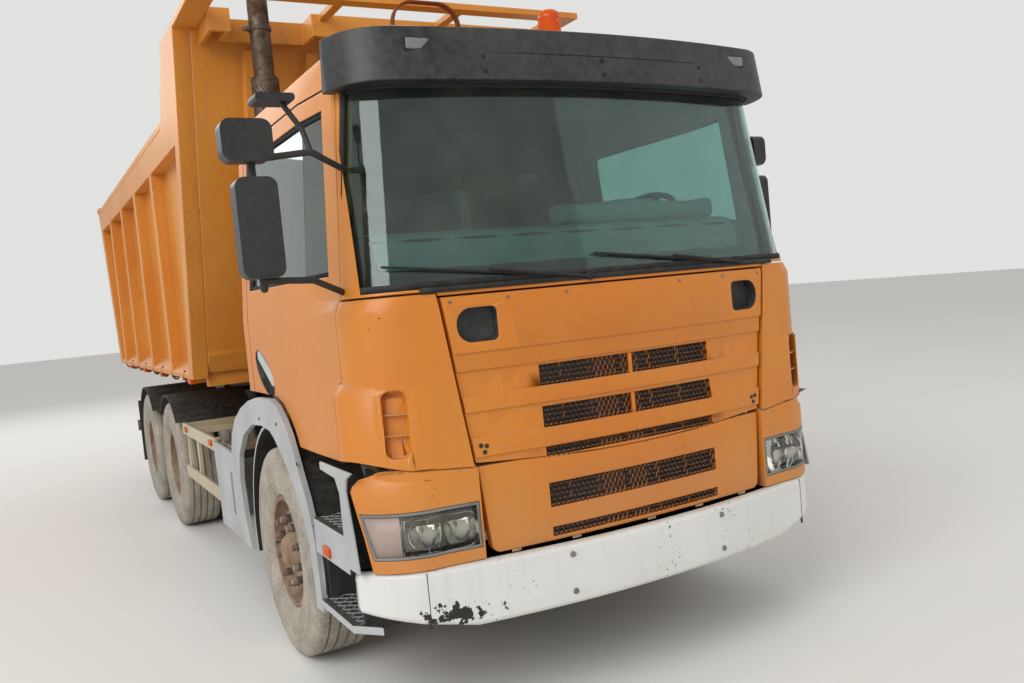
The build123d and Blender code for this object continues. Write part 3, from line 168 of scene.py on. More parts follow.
@dataclass(frozen=True)
class PaintedSteel(Finish):
    """Sprayed paint on pressed steel: satin, faded in patches, dusty low down and on top.

    The eye gets a soft gloss with a faint ripple, chips down to primer and dried runs.
    """

    coat: str = "d98a2b"
    faded: str = "e2a04c"
    grime: str = "8d7a5e"
    undercoat: str = "3a2a20"
    rust: str = "6b3514"
    roughness: float = 0.42
    dust_top: float = 1.1
    dust: float = 0.55
    chips: float = 0.5
    runs: float = 0.35
    scar: Point | None = None
    scar_size: Span = (0.1, 0.1)

    def lay(self, tree: bpy.types.NodeTree, shader: bpy.types.Node) -> None:
        """Wires the paint's layers, from the coat to the dust on it.

        Args:
            tree: The material's node tree.
            shader: Its principled shader.
        """
        where = add_node(tree, "ShaderNodeTexCoord")
        place = {"Vector": where.outputs["Object"]}
        # Fading comes in patches about 0.8 m across.
        patches = add_node(tree, "ShaderNodeTexNoise", {"Scale": 1.2, "Detail": 4.0}, place)
        patch = add_node(tree, "ShaderNodeMapRange", {"From Min": 0.35, "From Max": 0.68}, {"Value": patches})
        coat = add_node(tree, "ShaderNodeMix", {"data_type": "RGBA", 6: srgb(self.coat), 7: srgb(self.faded)},
                        {0: patch})
        # Dried runs are 20 to 60 mm wide and a metre long, so the pattern is stretched upwards.
        tall = add_node(tree, "ShaderNodeMapping", {"Scale": (26.0, 26.0, 1.1)}, place)
        runs = add_node(tree, "ShaderNodeTexNoise", {"Scale": 1.0, "Detail": 5.0, "Roughness": 0.6},
                        {"Vector": tall})
        run = add_node(tree, "ShaderNodeMapRange", {"From Min": 0.5, "From Max": 0.78, "To Max": self.runs},
                       {"Value": runs})
        soiled = add_node(tree, "ShaderNodeMix", {"data_type": "RGBA", 7: srgb(self.grime)},
                          {0: run, 6: coat})
        # Dust settles on what looks up and is thrown up from the road to about the axle's height.
        parts = add_node(tree, "ShaderNodeSeparateXYZ", None, place)
        low = add_node(tree, "ShaderNodeMapRange",
                       {"From Min": self.dust_top, "From Max": 0.25, "To Max": self.dust},
                       {"Value": parts.outputs["Z"]})
        facing = add_node(tree, "ShaderNodeSeparateXYZ", None, {"Vector": where.outputs["Normal"]})
        flat = add_node(tree, "ShaderNodeMapRange", {"From Min": 0.45, "From Max": 0.98, "To Max": self.dust},
                        {"Value": facing.outputs["Z"]})
        most = add_node(tree, "ShaderNodeMath", {"operation": "MAXIMUM"}, {0: low, 1: flat})
        clumps = add_node(tree, "ShaderNodeTexNoise", {"Scale": 9.0, "Detail": 8.0, "Roughness": 0.65}, place)
        clump = add_node(tree, "ShaderNodeMapRange", {"From Min": 0.3, "From Max": 0.62, "To Min": 0.25},
                         {"Value": clumps})
        settled = add_node(tree, "ShaderNodeMath", {"operation": "MULTIPLY"}, {0: most, 1: clump})
        dusty = add_node(tree, "ShaderNodeMix", {"data_type": "RGBA", 7: srgb("a8967a")},
                         {0: settled, 6: soiled})
        # Stone chips are 3 to 12 mm, drawn as the rare peaks of a fine noise, with rust round the largest.
        grit = add_node(tree, "ShaderNodeTexNoise", {"Scale": 62.0, "Detail": 3.0, "Roughness": 0.55}, place)
        sites = add_node(tree, "ShaderNodeTexNoise", {"Scale": 3.1, "Detail": 2.0}, place)
        site = add_node(tree, "ShaderNodeMapRange",
                        {"From Min": 0.42, "From Max": 0.7, "To Max": 0.1 * self.chips}, {"Value": sites})
        peak = add_node(tree, "ShaderNodeMath", {"operation": "ADD"}, {0: grit, 1: site})
        halo = add_node(tree, "ShaderNodeMapRange", {"From Min": 0.725, "From Max": 0.76, "To Max": 0.7},
                        {"Value": peak})
        rusty = add_node(tree, "ShaderNodeMix", {"data_type": "RGBA", 7: srgb(self.rust)},
                         {0: halo, 6: dusty})
        chip = add_node(tree, "ShaderNodeMapRange", {"From Min": 0.755, "From Max": 0.77}, {"Value": peak})
        chipped = add_node(tree, "ShaderNodeMix", {"data_type": "RGBA", 7: srgb(self.undercoat)},
                           {0: chip, 6: rusty})
        bare = self.scarred(tree, place, chipped) if self.scar else chipped
        dull = add_node(tree, "ShaderNodeMapRange",
                        {"To Min": self.roughness, "To Max": min(0.95, self.roughness + 0.5)},
                        {"Value": settled})
        # Orange peel is a 2 mm ripple. Dents are shallow and a hand across.
        peel = add_node(tree, "ShaderNodeTexNoise", {"Scale": 480.0, "Detail": 1.0}, place)
        ripple = add_node(tree, "ShaderNodeBump", {"Strength": 0.04, "Distance": 0.001}, {"Height": peel})
        dents = add_node(tree, "ShaderNodeTexNoise", {"Scale": 5.0, "Detail": 2.0}, place)
        dent = add_node(tree, "ShaderNodeBump", {"Strength": 0.16, "Distance": 0.012},
                        {"Height": dents, "Normal": ripple})
        wire(tree, shader, {"IOR": 1.5, "Coat Weight": 0.12, "Coat Roughness": 0.25},
             {"Base Color": bare, "Roughness": dull, "Normal": dent})

    def scarred(self, tree: bpy.types.NodeTree, place: dict, colour: bpy.types.Node) -> bpy.types.Node:
        """Knocks one large ragged patch of paint off round the scar's middle.

        Args:
            tree: The material's node tree.
            place: The link from Object coordinates.
            colour: The node that gives the paint's colour.

        Returns:
            The node that gives the colour with the patch in it.
        """
        x, _, z = at(*self.scar)
        stretch = (1.0 / self.scar_size[0], 0.0, 1.0 / self.scar_size[1])
        middle = (-x * stretch[0], 0.0, -z * stretch[2])
        near = add_node(tree, "ShaderNodeMapping", {"Location": middle, "Scale": stretch}, place)
        reach = add_node(tree, "ShaderNodeVectorMath", {"operation": "LENGTH"}, {0: near})
        # The patch's edge breaks up at 10 to 40 mm.
        ragged = add_node(tree, "ShaderNodeTexNoise", {"Scale": 26.0, "Detail": 5.0, "Roughness": 0.6}, place)
        edge = add_node(tree, "ShaderNodeMath", {"operation": "MULTIPLY_ADD", 1: 3.4}, {0: ragged, 2: reach})
        gone = add_node(tree, "ShaderNodeMapRange", {"From Min": 2.33, "From Max": 2.25}, {"Value": edge})
        return add_node(tree, "ShaderNodeMix", {"data_type": "RGBA", 7: srgb(self.undercoat)},
                        {0: gone, 6: colour})


@dataclass(frozen=True)
class MouldedPlastic(Finish):
    """Injection-moulded polypropylene or ABS with a pressed grain.

    Sun bleaches it in patches and dust lies in the grain, so it looks chalky and dry.
    """

    colour: str = "2b2d2e"
    bleached: str = "4a4c4c"
    dusted: str = "9a8f7c"
    roughness: float = 0.62
    dust: float = 0.4
    grain_mm: float = 1.6

    def lay(self, tree: bpy.types.NodeTree, shader: bpy.types.Node) -> None:
        """Wires the plastic's bleaching, dust and grain.

        Args:
            tree: The material's node tree.
            shader: Its principled shader.
        """
        where = add_node(tree, "ShaderNodeTexCoord")
        place = {"Vector": where.outputs["Object"]}
        patches = add_node(tree, "ShaderNodeTexNoise", {"Scale": 3.0, "Detail": 5.0, "Roughness": 0.6}, place)
        patch = add_node(tree, "ShaderNodeMapRange", {"From Min": 0.35, "From Max": 0.7}, {"Value": patches})
        body = add_node(tree, "ShaderNodeMix",
                        {"data_type": "RGBA", 6: srgb(self.colour), 7: srgb(self.bleached)}, {0: patch})
        facing = add_node(tree, "ShaderNodeSeparateXYZ", None, {"Vector": where.outputs["Normal"]})
        flat = add_node(tree, "ShaderNodeMapRange",
                        {"From Min": 0.1, "From Max": 0.95, "To Min": 0.25, "To Max": 1.0},
                        {"Value": facing.outputs["Z"]})
        specks = add_node(tree, "ShaderNodeTexNoise", {"Scale": 24.0, "Detail": 8.0, "Roughness": 0.7}, place)
        speck = add_node(tree, "ShaderNodeMapRange",
                         {"From Min": 0.38, "From Max": 0.72, "To Max": self.dust}, {"Value": specks})
        dust = add_node(tree, "ShaderNodeMath", {"operation": "MULTIPLY"}, {0: flat, 1: speck})
        dusty = add_node(tree, "ShaderNodeMix", {"data_type": "RGBA", 7: srgb(self.dusted)},
                         {0: dust, 6: body})
        dull = add_node(tree, "ShaderNodeMapRange",
                        {"To Min": self.roughness, "To Max": min(0.98, self.roughness + 0.3)},
                        {"Value": dust})
        grain = add_node(tree, "ShaderNodeTexVoronoi", {"Scale": 1000.0 / self.grain_mm}, place)
        bump = add_node(tree, "ShaderNodeBump", {"Strength": 0.25, "Distance": 0.0006}, {"Height": grain})
        wire(tree, shader, {"IOR": 1.49}, {"Base Color": dusty, "Roughness": dull, "Normal": bump})


@dataclass(frozen=True)
class TyreRubber(Finish):
    """Carbon-black rubber: matt, greyed by road dust that stays in its grooves and on its wall."""

    colour: str = "232220"
    dusted: str = "b9b0a2"
    dust: float = 0.92

    def lay(self, tree: bpy.types.NodeTree, shader: bpy.types.Node) -> None:
        """Wires the rubber's dust and fine texture.

        Args:
            tree: The material's node tree.
            shader: Its principled shader.
        """
        place = {"Vector": add_node(tree, "ShaderNodeTexCoord").outputs["Object"]}
        broad = add_node(tree, "ShaderNodeTexNoise", {"Scale": 6.0, "Detail": 6.0, "Roughness": 0.65}, place)
        fine = add_node(tree, "ShaderNodeTexNoise", {"Scale": 130.0, "Detail": 3.0}, place)
        both = add_node(tree, "ShaderNodeMath", {"operation": "ADD"}, {0: broad, 1: fine})
        dust = add_node(tree, "ShaderNodeMapRange",
                        {"From Min": 0.7, "From Max": 1.2, "To Min": 0.35, "To Max": self.dust},
                        {"Value": both})
        colour = add_node(tree, "ShaderNodeMix",
                          {"data_type": "RGBA", 6: srgb(self.colour), 7: srgb(self.dusted)}, {0: dust})
        bump = add_node(tree, "ShaderNodeBump", {"Strength": 0.35, "Distance": 0.0015}, {"Height": fine})
        wire(tree, shader, {"Roughness": 0.88, "IOR": 1.52}, {"Base Color": colour, "Normal": bump})


@dataclass(frozen=True)
class WornMetal(Finish):
    """Bare or plated metal with a stained, scuffed skin."""

    colour: str = "8d8b86"
    stain: str = "4d3a2a"
    roughness: float = 0.38
    stained: float = 0.5
    metallic: float = 1.0

    def lay(self, tree: bpy.types.NodeTree, shader: bpy.types.Node) -> None:
        """Wires the metal's stains and scuffs.

        Args:
            tree: The material's node tree.
            shader: Its principled shader.
        """
        place = {"Vector": add_node(tree, "ShaderNodeTexCoord").outputs["Object"]}
        # Stains are hand-sized clouds that break up at their edges.
        clouds = add_node(tree, "ShaderNodeTexNoise", {"Scale": 7.0, "Detail": 9.0, "Roughness": 0.68}, place)
        stain = add_node(tree, "ShaderNodeMapRange",
                         {"From Min": 0.42, "From Max": 0.66, "To Max": self.stained}, {"Value": clouds})
        colour = add_node(tree, "ShaderNodeMix",
                          {"data_type": "RGBA", 6: srgb(self.colour), 7: srgb(self.stain)}, {0: stain})
        rough = add_node(tree, "ShaderNodeMapRange",
                         {"To Min": self.roughness, "To Max": min(0.95, self.roughness + 0.5)},
                         {"Value": stain})
        scuffs = add_node(tree, "ShaderNodeTexNoise", {"Scale": 160.0, "Detail": 3.0}, place)
        bump = add_node(tree, "ShaderNodeBump", {"Strength": 0.12, "Distance": 0.001}, {"Height": scuffs})
        wire(tree, shader, {"Metallic": self.metallic},
             {"Base Color": colour, "Roughness": rough, "Normal": bump})


@dataclass(frozen=True)
class Glazing(Finish):
    """Laminated glass or clear moulded lens, with a film of dust that dims it a little."""

    tint: str = "b9d6d2"
    roughness: float = 0.02
    ior: float = 1.5
    film: float = 0.12
    least_film: float = 0.02
    haze: str = "a39a88"

    def lay(self, tree: bpy.types.NodeTree, shader: bpy.types.Node) -> None:
        """Wires the glass with its dust film.

        Args:
            tree: The material's node tree.
            shader: Its principled shader.
        """
        place = {"Vector": add_node(tree, "ShaderNodeTexCoord").outputs["Object"]}
        smears = add_node(tree, "ShaderNodeTexNoise", {"Scale": 3.5, "Detail": 7.0, "Roughness": 0.6}, place)
        film = add_node(tree, "ShaderNodeMapRange",
                        {"From Min": 0.4, "From Max": 0.75, "To Min": self.least_film, "To Max": self.film},
                        {"Value": smears})
        wire(tree, shader, {"Base Color": srgb(self.tint), "Roughness": self.roughness, "IOR": self.ior,
                            "Transmission Weight": 1.0})
        haze = add_node(tree, "ShaderNodeBsdfDiffuse", {"Color": srgb(self.haze)})
        mixed = add_node(tree, "ShaderNodeMixShader", None, {0: film, 1: shader, 2: haze})
        out = next(node for node in tree.nodes if node.type == "OUTPUT_MATERIAL")
        wire(tree, out, None, {"Surface": mixed})


@dataclass(frozen=True)
class WovenCloth(Finish):
    """Flat-woven polyester seat cloth: matt, with a fuzzy sheen at grazing angles."""

    warp: str = "2e3034"
    weft: str = "44464a"
    thread_mm: float = 2.4

    def lay(self, tree: bpy.types.NodeTree, shader: bpy.types.Node) -> None:
        """Wires the cloth's two threads and its nap.

        Args:
            tree: The material's node tree.
            shader: Its principled shader.
        """
        place = {"Vector": add_node(tree, "ShaderNodeTexCoord").outputs["Object"]}
        # The thread is drawn at 2.4 mm, coarser than the real 0.8 mm, so that it shows at all.
        scale = 1000.0 / self.thread_mm
        across = add_node(tree, "ShaderNodeTexWave", {"Scale": scale / 6.3, "bands_direction": "X"}, place)
        along = add_node(tree, "ShaderNodeTexWave", {"Scale": scale / 6.3, "bands_direction": "Z"}, place)
        weave = add_node(tree, "ShaderNodeMath", {"operation": "MULTIPLY"},
                         {0: across.outputs["Fac"], 1: along.outputs["Fac"]})
        colour = add_node(tree, "ShaderNodeMix",
                          {"data_type": "RGBA", 6: srgb(self.warp), 7: srgb(self.weft)}, {0: weave})
        bump = add_node(tree, "ShaderNodeBump", {"Strength": 0.4, "Distance": 0.001}, {"Height": weave})
        wire(tree, shader, {"Roughness": 0.92, "Sheen Weight": 0.3}, {"Base Color": colour, "Normal": bump})


@dataclass(frozen=True)
class StudioPlaster(Finish):
    """Matt limewashed floor, pale, with a barely visible mottle."""

    colour: str = "e6e5e2"

    def lay(self, tree: bpy.types.NodeTree, shader: bpy.types.Node) -> None:
        """Wires the floor's mottle.

        Args:
            tree: The material's node tree.
            shader: Its principled shader.
        """
        place = {"Vector": add_node(tree, "ShaderNodeTexCoord").outputs["Object"]}
        mottle = add_node(tree, "ShaderNodeTexNoise", {"Scale": 0.8, "Detail": 4.0}, place)
        colour = add_node(tree, "ShaderNodeMix",
                          {"data_type": "RGBA", 6: srgb(self.colour), 7: srgb("ebeae7")}, {0: mottle})
        wire(tree, shader, {"Roughness": 0.9}, {"Base Color": colour})


class Paint:
    """The truck's finishes, one for each real material on it."""

    # Brushed and sprayed enamels: satin, chalked by the sun, chipped to primer and rust.
    AMBER = PaintedSteel("amber_enamel_on_steel", "amber_paint", coat="c9741a", faded="cf8026", chips=0.45,
                         runs=0.12)
    BODY = PaintedSteel("amber_enamel_on_body_plate", "body_paint", coat="cb7c20", faded="d38c34",
                        rust="7a4018", chips=0.8, runs=0.3, dust=0.5, roughness=0.5)
    BUMPER = PaintedSteel("white_enamel_on_bumper", coat="dcdcd9", faded="d3d2cd", undercoat="151515",
                          grime="9a9384", rust="4a3a30", chips=0.9, runs=0.12, dust_top=0.52, dust=0.45,
                          scar=(-0.905, 0.094, 0.512), scar_size=(0.150, 0.060))
    CHASSIS = PaintedSteel("black_chassis_paint", "chassis_paint", coat="1d1c1b", faded="2b2927",
                           undercoat="4a3324", grime="5b4f3f", chips=0.7, dust=0.75, dust_top=1.2,
                           roughness=0.6)
    PALE = PaintedSteel("cream_paint_on_guard_rails", "pale_paint", coat="c9bd9b", faded="b7ab8c",
                        undercoat="5a3a24", chips=1.0, dust=0.6)
    WHEEL = PaintedSteel("maroon_wheel_enamel", coat="5a1512", faded="6d2a22", undercoat="2a201c",
                         grime="a08f78", runs=0.6, dust=0.85, dust_top=2.0, roughness=0.55)
    HOIST = PaintedSteel("black_hoist_enamel", coat="20201f", faded="2c2b29", chips=0.5, dust=0.5)
    # Moulded plastics and rubber: dry and chalky outside, darker and cleaner in the cabin.
    # Black plastic, also used for the black sheets and faces that stand for shade in recesses and openings.
    BLACK = MouldedPlastic("weathered_black_polypropylene", "black_plastic", colour="151617",
                           bleached="2a2c2d", dust=0.25)
    VISOR = MouldedPlastic("bleached_visor_acrylic", colour="15191b", bleached="2c3234", roughness=0.45,
                           dust=0.3)
    GREY = MouldedPlastic("grey_mudguard_polypropylene", "grey_plastic", colour="a3a6a8", bleached="b9bbba",
                          dust=0.45)
    HANDLE = MouldedPlastic("grey_door_handle_polyamide", colour="b4b6b3", bleached="c4c5c1", dust=0.2)
    LINING = MouldedPlastic("grey_green_headlining_board", colour="3a4345", bleached="495355", roughness=0.85,
                            dust=0.1)
    LAMP_FRAME = MouldedPlastic("grey_lamp_housing_abs", "grey_plastic", colour="6f7171", bleached="858685",
                                dust=0.3)
    MIRROR_SHELL = MouldedPlastic("satin_black_mirror_abs", colour="17191a", bleached="26292a",
                                  roughness=0.42, dust=0.18)
    COVER = MouldedPlastic("bleached_dashboard_felt", "cabin_trim", colour="9fa9a6", bleached="b9c0bb",
                           roughness=0.9, dust=0.2, grain_mm=3.0)
    TRIM = MouldedPlastic("cabin_abs_trim", "cabin_trim", colour="8e9694", bleached="a3aba8", roughness=0.7,
                          dust=0.2)
    DARK_TRIM = MouldedPlastic("dark_cabin_abs_trim", "cabin_trim", colour="202426", bleached="2d3234",
                               dust=0.1)
    SEAL = MouldedPlastic("black_epdm_seal", "black_plastic", colour="101112", bleached="1e1f20",
                          roughness=0.8, dust=0.2)
    TYRE = TyreRubber("carbon_black_tyre_rubber", "tyre")
    # Bare, plated and hot metals: dull grey where dusty, brown where heat or rain has worked.
    IRON = WornMetal("oily_cast_iron", colour="4a4642", stain="2a211a", roughness=0.6, metallic=0.6)
    ALLOY = WornMetal("dusty_aluminium_tank", colour="9c9b97", stain="7b6f5e", roughness=0.45)
    STEEL = WornMetal("heat_stained_exhaust_steel", "tank_metal", colour="6e655c", stain="5a3621",
                      roughness=0.5, stained=0.85)
    RUSTY = WornMetal("rusted_mild_steel", "exhaust_metal", colour="7d3d16", stain="472512", roughness=0.85,
                      stained=0.8, metallic=0.1)
    ZINC = WornMetal("zinc_plated_fasteners", "tank_metal", colour="8f8d86", stain="5c4a38", roughness=0.42)
    CHROME = WornMetal("hard_chromed_ram", colour="c9c9c9", stain="77706a", roughness=0.12, stained=0.25)
    LAMP_BACK = WornMetal("aluminised_lamp_back", "tank_metal", colour="c4c3bd", stain="8f8c84",
                          roughness=0.35, stained=0.3, metallic=0.6)
    REFLECTOR = WornMetal("aluminised_reflector", "tank_metal", colour="d8d8d4", stain="b0ada4",
                          roughness=0.16, stained=0.2)
    MIRROR = WornMetal("silvered_mirror_glass", "glass", colour="d5dadb", stain="c2c6c6", roughness=0.03,
                       stained=0.1)
    # Glass and clear plastics: tinted panes under a thin film of dust, and lenses hazy enough to show colour.
    SCREEN = Glazing("green_laminated_glass", tint="9ccac6", film=0.1)
    PRIVACY_GLASS = Glazing("dark_rear_window_glass", "glass", tint="2b3a3c", film=0.06)
    SIDE_GLASS = Glazing("green_toughened_glass", tint="a3c7c0", film=0.12)
    LENS = Glazing("clear_polycarbonate_lens", "lamp_lens", tint="efefe8", ior=1.58, film=0.3)
    TURN_LENS = Glazing("frosted_turn_lens", "lamp_lens", tint="eedbd2", roughness=0.3, film=0.75,
                        least_film=0.5, haze="cbb5ac")
    AMBER_LENS = Glazing("amber_acrylic_lens", "beacon_amber", tint="ff7d1a", roughness=0.12, film=0.7,
                         least_film=0.45, haze="ee6418")
    RED_LENS = Glazing("red_acrylic_lens", "lamp_lens", tint="d0201a", roughness=0.12, film=0.7,
                       least_film=0.45, haze="a51410")
    SEAT = WovenCloth("charcoal_seat_cloth", "seat_cloth")
    FLOOR = StudioPlaster("pale_studio_floor")


def at(x: float, y: float, z: float) -> Vector:
    """A point of the truck, with y measured back from the bumper's front face."""
    return Vector((x, y - HALF_LENGTH, z))


def front_y(x: float, z: float, inset: float = 0.0) -> float:
    """How far back the cab's bowed front lies at a height.

    Args:
        x: Distance from the truck's middle.
        z: Height above the ground.
        inset: How far behind the surface.

    Returns:
        y measured back from the bumper's front face.
    """
    if z < BELT_Z:
        radius, lean = NOSE_RADIUS, 0.0
    else:
        radius = SCREEN_RADIUS - (z - BELT_Z) * SCREEN_TAPER
        lean = SCREEN_STEP + (z - BELT_Z) * SCREEN_LEAN
    return NOSE_Y + lean + inset + radius - math.sqrt(radius ** 2 - x * x)


def everything(bm: bmesh.types.BMesh) -> list:
    """A mesh's vertices, edges and faces."""
    return bm.verts[:] + bm.edges[:] + bm.faces[:]


class Shape:
    """A mesh being modelled, with the few moves that the truck's pieces are made by."""

    def __init__(self, bm: bmesh.types.BMesh | None = None) -> None:
        """Starts an empty mesh, or goes on with the one that is given."""
        self.bm = bm or bmesh.new()

    def block(self, x: Sequence[float], y: Sequence[float], z: Sequence[float]) -> None:
        """Adds a box between three spans, y measured back from the bumper.

        Args:
            x: Lowest and highest x.
            y: Nearest and furthest y.
            z: Lowest and highest z.
        """
        low, high = at(x[0], y[0], z[0]), at(x[1], y[1], z[1])
        size = high - low
        place = Matrix.Translation((low + high) / 2) @ Matrix.Diagonal((*size, 1.0))
        bmesh.ops.create_cube(self.bm, size=1.0, matrix=place)

    def prism(self, outline: Sequence[Vector], along: Vector) -> None:
        """Adds a flat outline drawn out along a vector.

        Args:
            outline: Corners in order round the outline.
            along: The extrusion.
        """
        start = [self.bm.verts.new(point) for point in outline]
        face = self.bm.faces.new(start)
        grown = bmesh.ops.extrude_face_region(self.bm, geom=[face])["geom"]
        end = [item for item in grown if isinstance(item, bmesh.types.BMVert)]
        bmesh.ops.translate(self.bm, vec=along, verts=end)
        bmesh.ops.recalc_face_normals(self.bm, faces=list({f for v in start + end for f in v.link_faces}))

    def rod(self, start: Vector, end: Vector, radius: float, sides: int = 20) -> None:
        """Adds a round bar between two points.

        Args:
            start: Middle of one end.
            end: Middle of the other end.
            radius: The bar's radius.
            sides: Faces round it.
        """
        along = end - start
        turn = along.to_track_quat("Z", "Y").to_matrix().to_4x4()
        place = Matrix.Translation((start + end) / 2) @ turn
        bmesh.ops.create_cone(self.bm, cap_ends=True, segments=sides, radius1=radius, radius2=radius,
                              depth=along.length, matrix=place)

    def pipe(self, points: Sequence[Vector], radius: float, sides: int = 5) -> None:
        """Adds a bent tube along a smooth curve through points.

        Args:
            points: Where the tube's middle passes.
            radius: The tube's radius.
            sides: Resolution of its round section.
        """
        curve = bpy.data.curves.new("pipe_path", "CURVE")
        curve.dimensions = "3D"
        curve.bevel_depth = radius
        curve.bevel_resolution = sides
        curve.use_fill_caps = True
        spline = curve.splines.new("BEZIER")
        spline.bezier_points.add(len(points) - 1)
        for knot, point in zip(spline.bezier_points, points):
            knot.co = point
            knot.handle_left_type = "AUTO"
            knot.handle_right_type = "AUTO"
        holder = bpy.data.objects.new("pipe_path", curve)
        mesh = bpy.data.meshes.new_from_object(holder)
        self.bm.from_mesh(mesh)
        bpy.data.objects.remove(holder)
        bpy.data.curves.remove(curve)
        bpy.data.meshes.remove(mesh)

    def lathe(self, profile: Sequence[Span], centre: Vector, steps: int = 48,
              axis: Sequence[float] = (1.0, 0.0, 0.0)) -> list:
        """Adds a turned form.

        Args:
            profile: Points as (distance along the axis, radius).
            centre: A point of the axis, from which the distances run.
            steps: Faces round the form.
            axis: The axis, along x, y or z.

        Returns:
            The form's faces.
        """
        along = Vector(axis)
        out = UP if abs(along.z) < 0.5 else Vector((1.0, 0.0, 0.0))
        verts = [self.bm.verts.new(centre + along * d + out * max(r, 1e-5)) for d, r in profile]
        edges = [self.bm.edges.new(pair) for pair in zip(verts, verts[1:])]
        turned = bmesh.ops.spin(self.bm, geom=verts + edges, cent=centre, axis=along, steps=steps,
                                angle=math.tau, use_merge=True)
        seed = [v for v in turned["geom_last"] if isinstance(v, bmesh.types.BMVert) and v.is_valid]
        found: set = set()
        queue = [face for vert in seed for face in vert.link_faces]
        while queue:
            face = queue.pop()
            if face not in found:
                found.add(face)
                queue += [other for edge in face.edges for other in edge.link_faces]
        bmesh.ops.recalc_face_normals(self.bm, faces=list(found))
        return list(found)

    def nose_sheet(self, x: Sequence[float], z: Sequence[float], inset: float) -> None:
        """Adds an upright sheet that follows the bow of the cab's front.

        Args:
            x: Lowest and highest x.
            z: Lowest and highest z.
            inset: How far behind the cab's surface it stands.
        """
        verts = bmesh.ops.create_grid(self.bm, x_segments=48, y_segments=2, size=0.5)["verts"]
        for vert in verts:
            across = x[0] + (vert.co.x + 0.5) * (x[1] - x[0])
            up = z[0] + (vert.co.y + 0.5) * (z[1] - z[0])
            vert.co = at(across, front_y(across, up, inset), up)

    def absorb(self, bm: bmesh.types.BMesh) -> None:
        """Takes in another mesh and frees it.

        Args:
            bm: The other mesh.
        """
        mesh = bpy.data.meshes.new("absorbed")
        bm.to_mesh(mesh)
        bm.free()
        self.bm.from_mesh(mesh)
        bpy.data.meshes.remove(mesh)

    def bevel(self, width: float, segments: int = 2) -> Shape:
        """Rounds the shape's sharp edges.

        Args:
            width: Width of the rounding in metres.
            segments: Faces across it.

        Returns:
            The shape itself.
        """
        limit = math.radians(SHARP_DEGREES)
        sharp = [e for e in self.bm.edges if len(e.link_faces) == 2 and e.calc_face_angle() > limit]
        bmesh.ops.bevel(self.bm, geom=sharp, affect="EDGES", offset=width, segments=segments,
                        profile=0.5, material=-1, clamp_overlap=True)
        return self

    def piece(self, name: str, finish: Finish, body: str, smooth: float = SHARP_DEGREES,
              stands_for: Sequence[str] = (), slot: str | None = None) -> bpy.types.Object:
        """Makes the shape an object that rides on a body.

        Args:
            name: The piece's name.
            finish: Its finish.
            body: The CAD body that it moves with.
            smooth: Edges that turn by less than this many degrees are shaded smooth.
            stands_for: CAD nodes that it replaces.
            slot: The record's material slot, if it isn't the finish's own; not used.

        Returns:
            The object.
        """
        mesh = bpy.data.meshes.new(name)
        self.bm.to_mesh(mesh)
        self.bm.free()
        for polygon in mesh.polygons:
            polygon.use_smooth = True
        mesh.set_sharp_from_angle(angle=math.radians(smooth))
        mesh.materials.append(finish.material())
        made = bpy.data.objects.new(name, mesh)
        bpy.context.scene.collection.objects.link(made)
        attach(made, body)
        if stands_for:
            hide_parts(*stands_for)
        if slot is None:
            slot = finish.slot
        return made


def merged(node: str) -> bmesh.types.BMesh:
    """A copy of a CAD node's mesh with its doubles merged and its flat faces whole.

    Args:
        node: The CAD node.

    Returns:
        The copy.
    """
    bm = bmesh.new()
    bm.from_mesh(frame["nodes"][node].data)
    bmesh.ops.remove_doubles(bm, verts=bm.verts, dist=2e-5)
    bmesh.ops.dissolve_limit(bm, angle_limit=math.radians(0.12), verts=bm.verts, edges=bm.edges)
    return bm


Zone = tuple[Finish, Callable[[Vector, Vector], bool]]


def faces_out(face: bmesh.types.BMFace) -> bool:
    """Whether a face looks forward or away from the truck's middle."""
    side = 1.0 if face.calc_center_median().x > 0.0 else -1.0
    return face.normal.y < -0.15 or side * face.normal.x > 0.3


def cut_copy(node: str, keep: Callable[[bmesh.types.BMFace], bool]) -> bmesh.types.BMesh:
    """A merged copy of some of a CAD node's faces.

    Args:
        node: The CAD node.
        keep: Says which faces are kept.

    Returns:
        The copy.
    """
    bm = merged(node)
    bmesh.ops.delete(bm, geom=[face for face in bm.faces if not keep(face)], context="FACES")
    return bm


def band(bm: bmesh.types.BMesh, width: float) -> bmesh.types.BMesh:
    """Leaves only a band along a sheet's open edge.

    Args:
        bm: The sheet.
        width: The band's width.

    Returns:
        The band.
    """
    inner = bm.faces[:]
    bmesh.ops.inset_region(bm, faces=inner, thickness=width, use_boundary=True, use_even_offset=True)
    bmesh.ops.delete(bm, geom=inner, context="FACES")
    return bm


def thicken(made: bpy.types.Object, thickness: float, offset: float = -1.0) -> None:
    """Gives a sheet its thickness.

    Args:
        made: The sheet.
        thickness: In metres.
        offset: -1 grows it inwards, 1 outwards.
    """
    solid = made.modifiers.new("sheet", "SOLIDIFY")
    solid.thickness = thickness
    solid.offset = offset
    solid.use_even_offset = True


def rounding(made: bpy.types.Object, width: float, segments: int = 2, held: bool = False) -> None:
    """Rounds a piece's sharp edges.

    Args:
        made: The piece.
        width: Width of the rounding in metres.
        segments: Faces across it.
        held: Whether the rounding shrinks where two would run into each other.
    """
    soft = made.modifiers.new("rounding", "BEVEL")
    soft.width = width
    soft.segments = segments
    soft.limit_method = "ANGLE"
    soft.angle_limit = math.radians(ROUNDED_DEGREES)
    soft.use_clamp_overlap = held
    soft.harden_normals = True


def subdivided(made: bpy.types.Object, levels: int) -> None:
    """Smooths a soft piece.

    Args:
        made: The piece.
        levels: How often its faces are split.
    """
    soft = made.modifiers.new("softness", "SUBSURF")
    soft.levels = levels
    soft.render_levels = levels


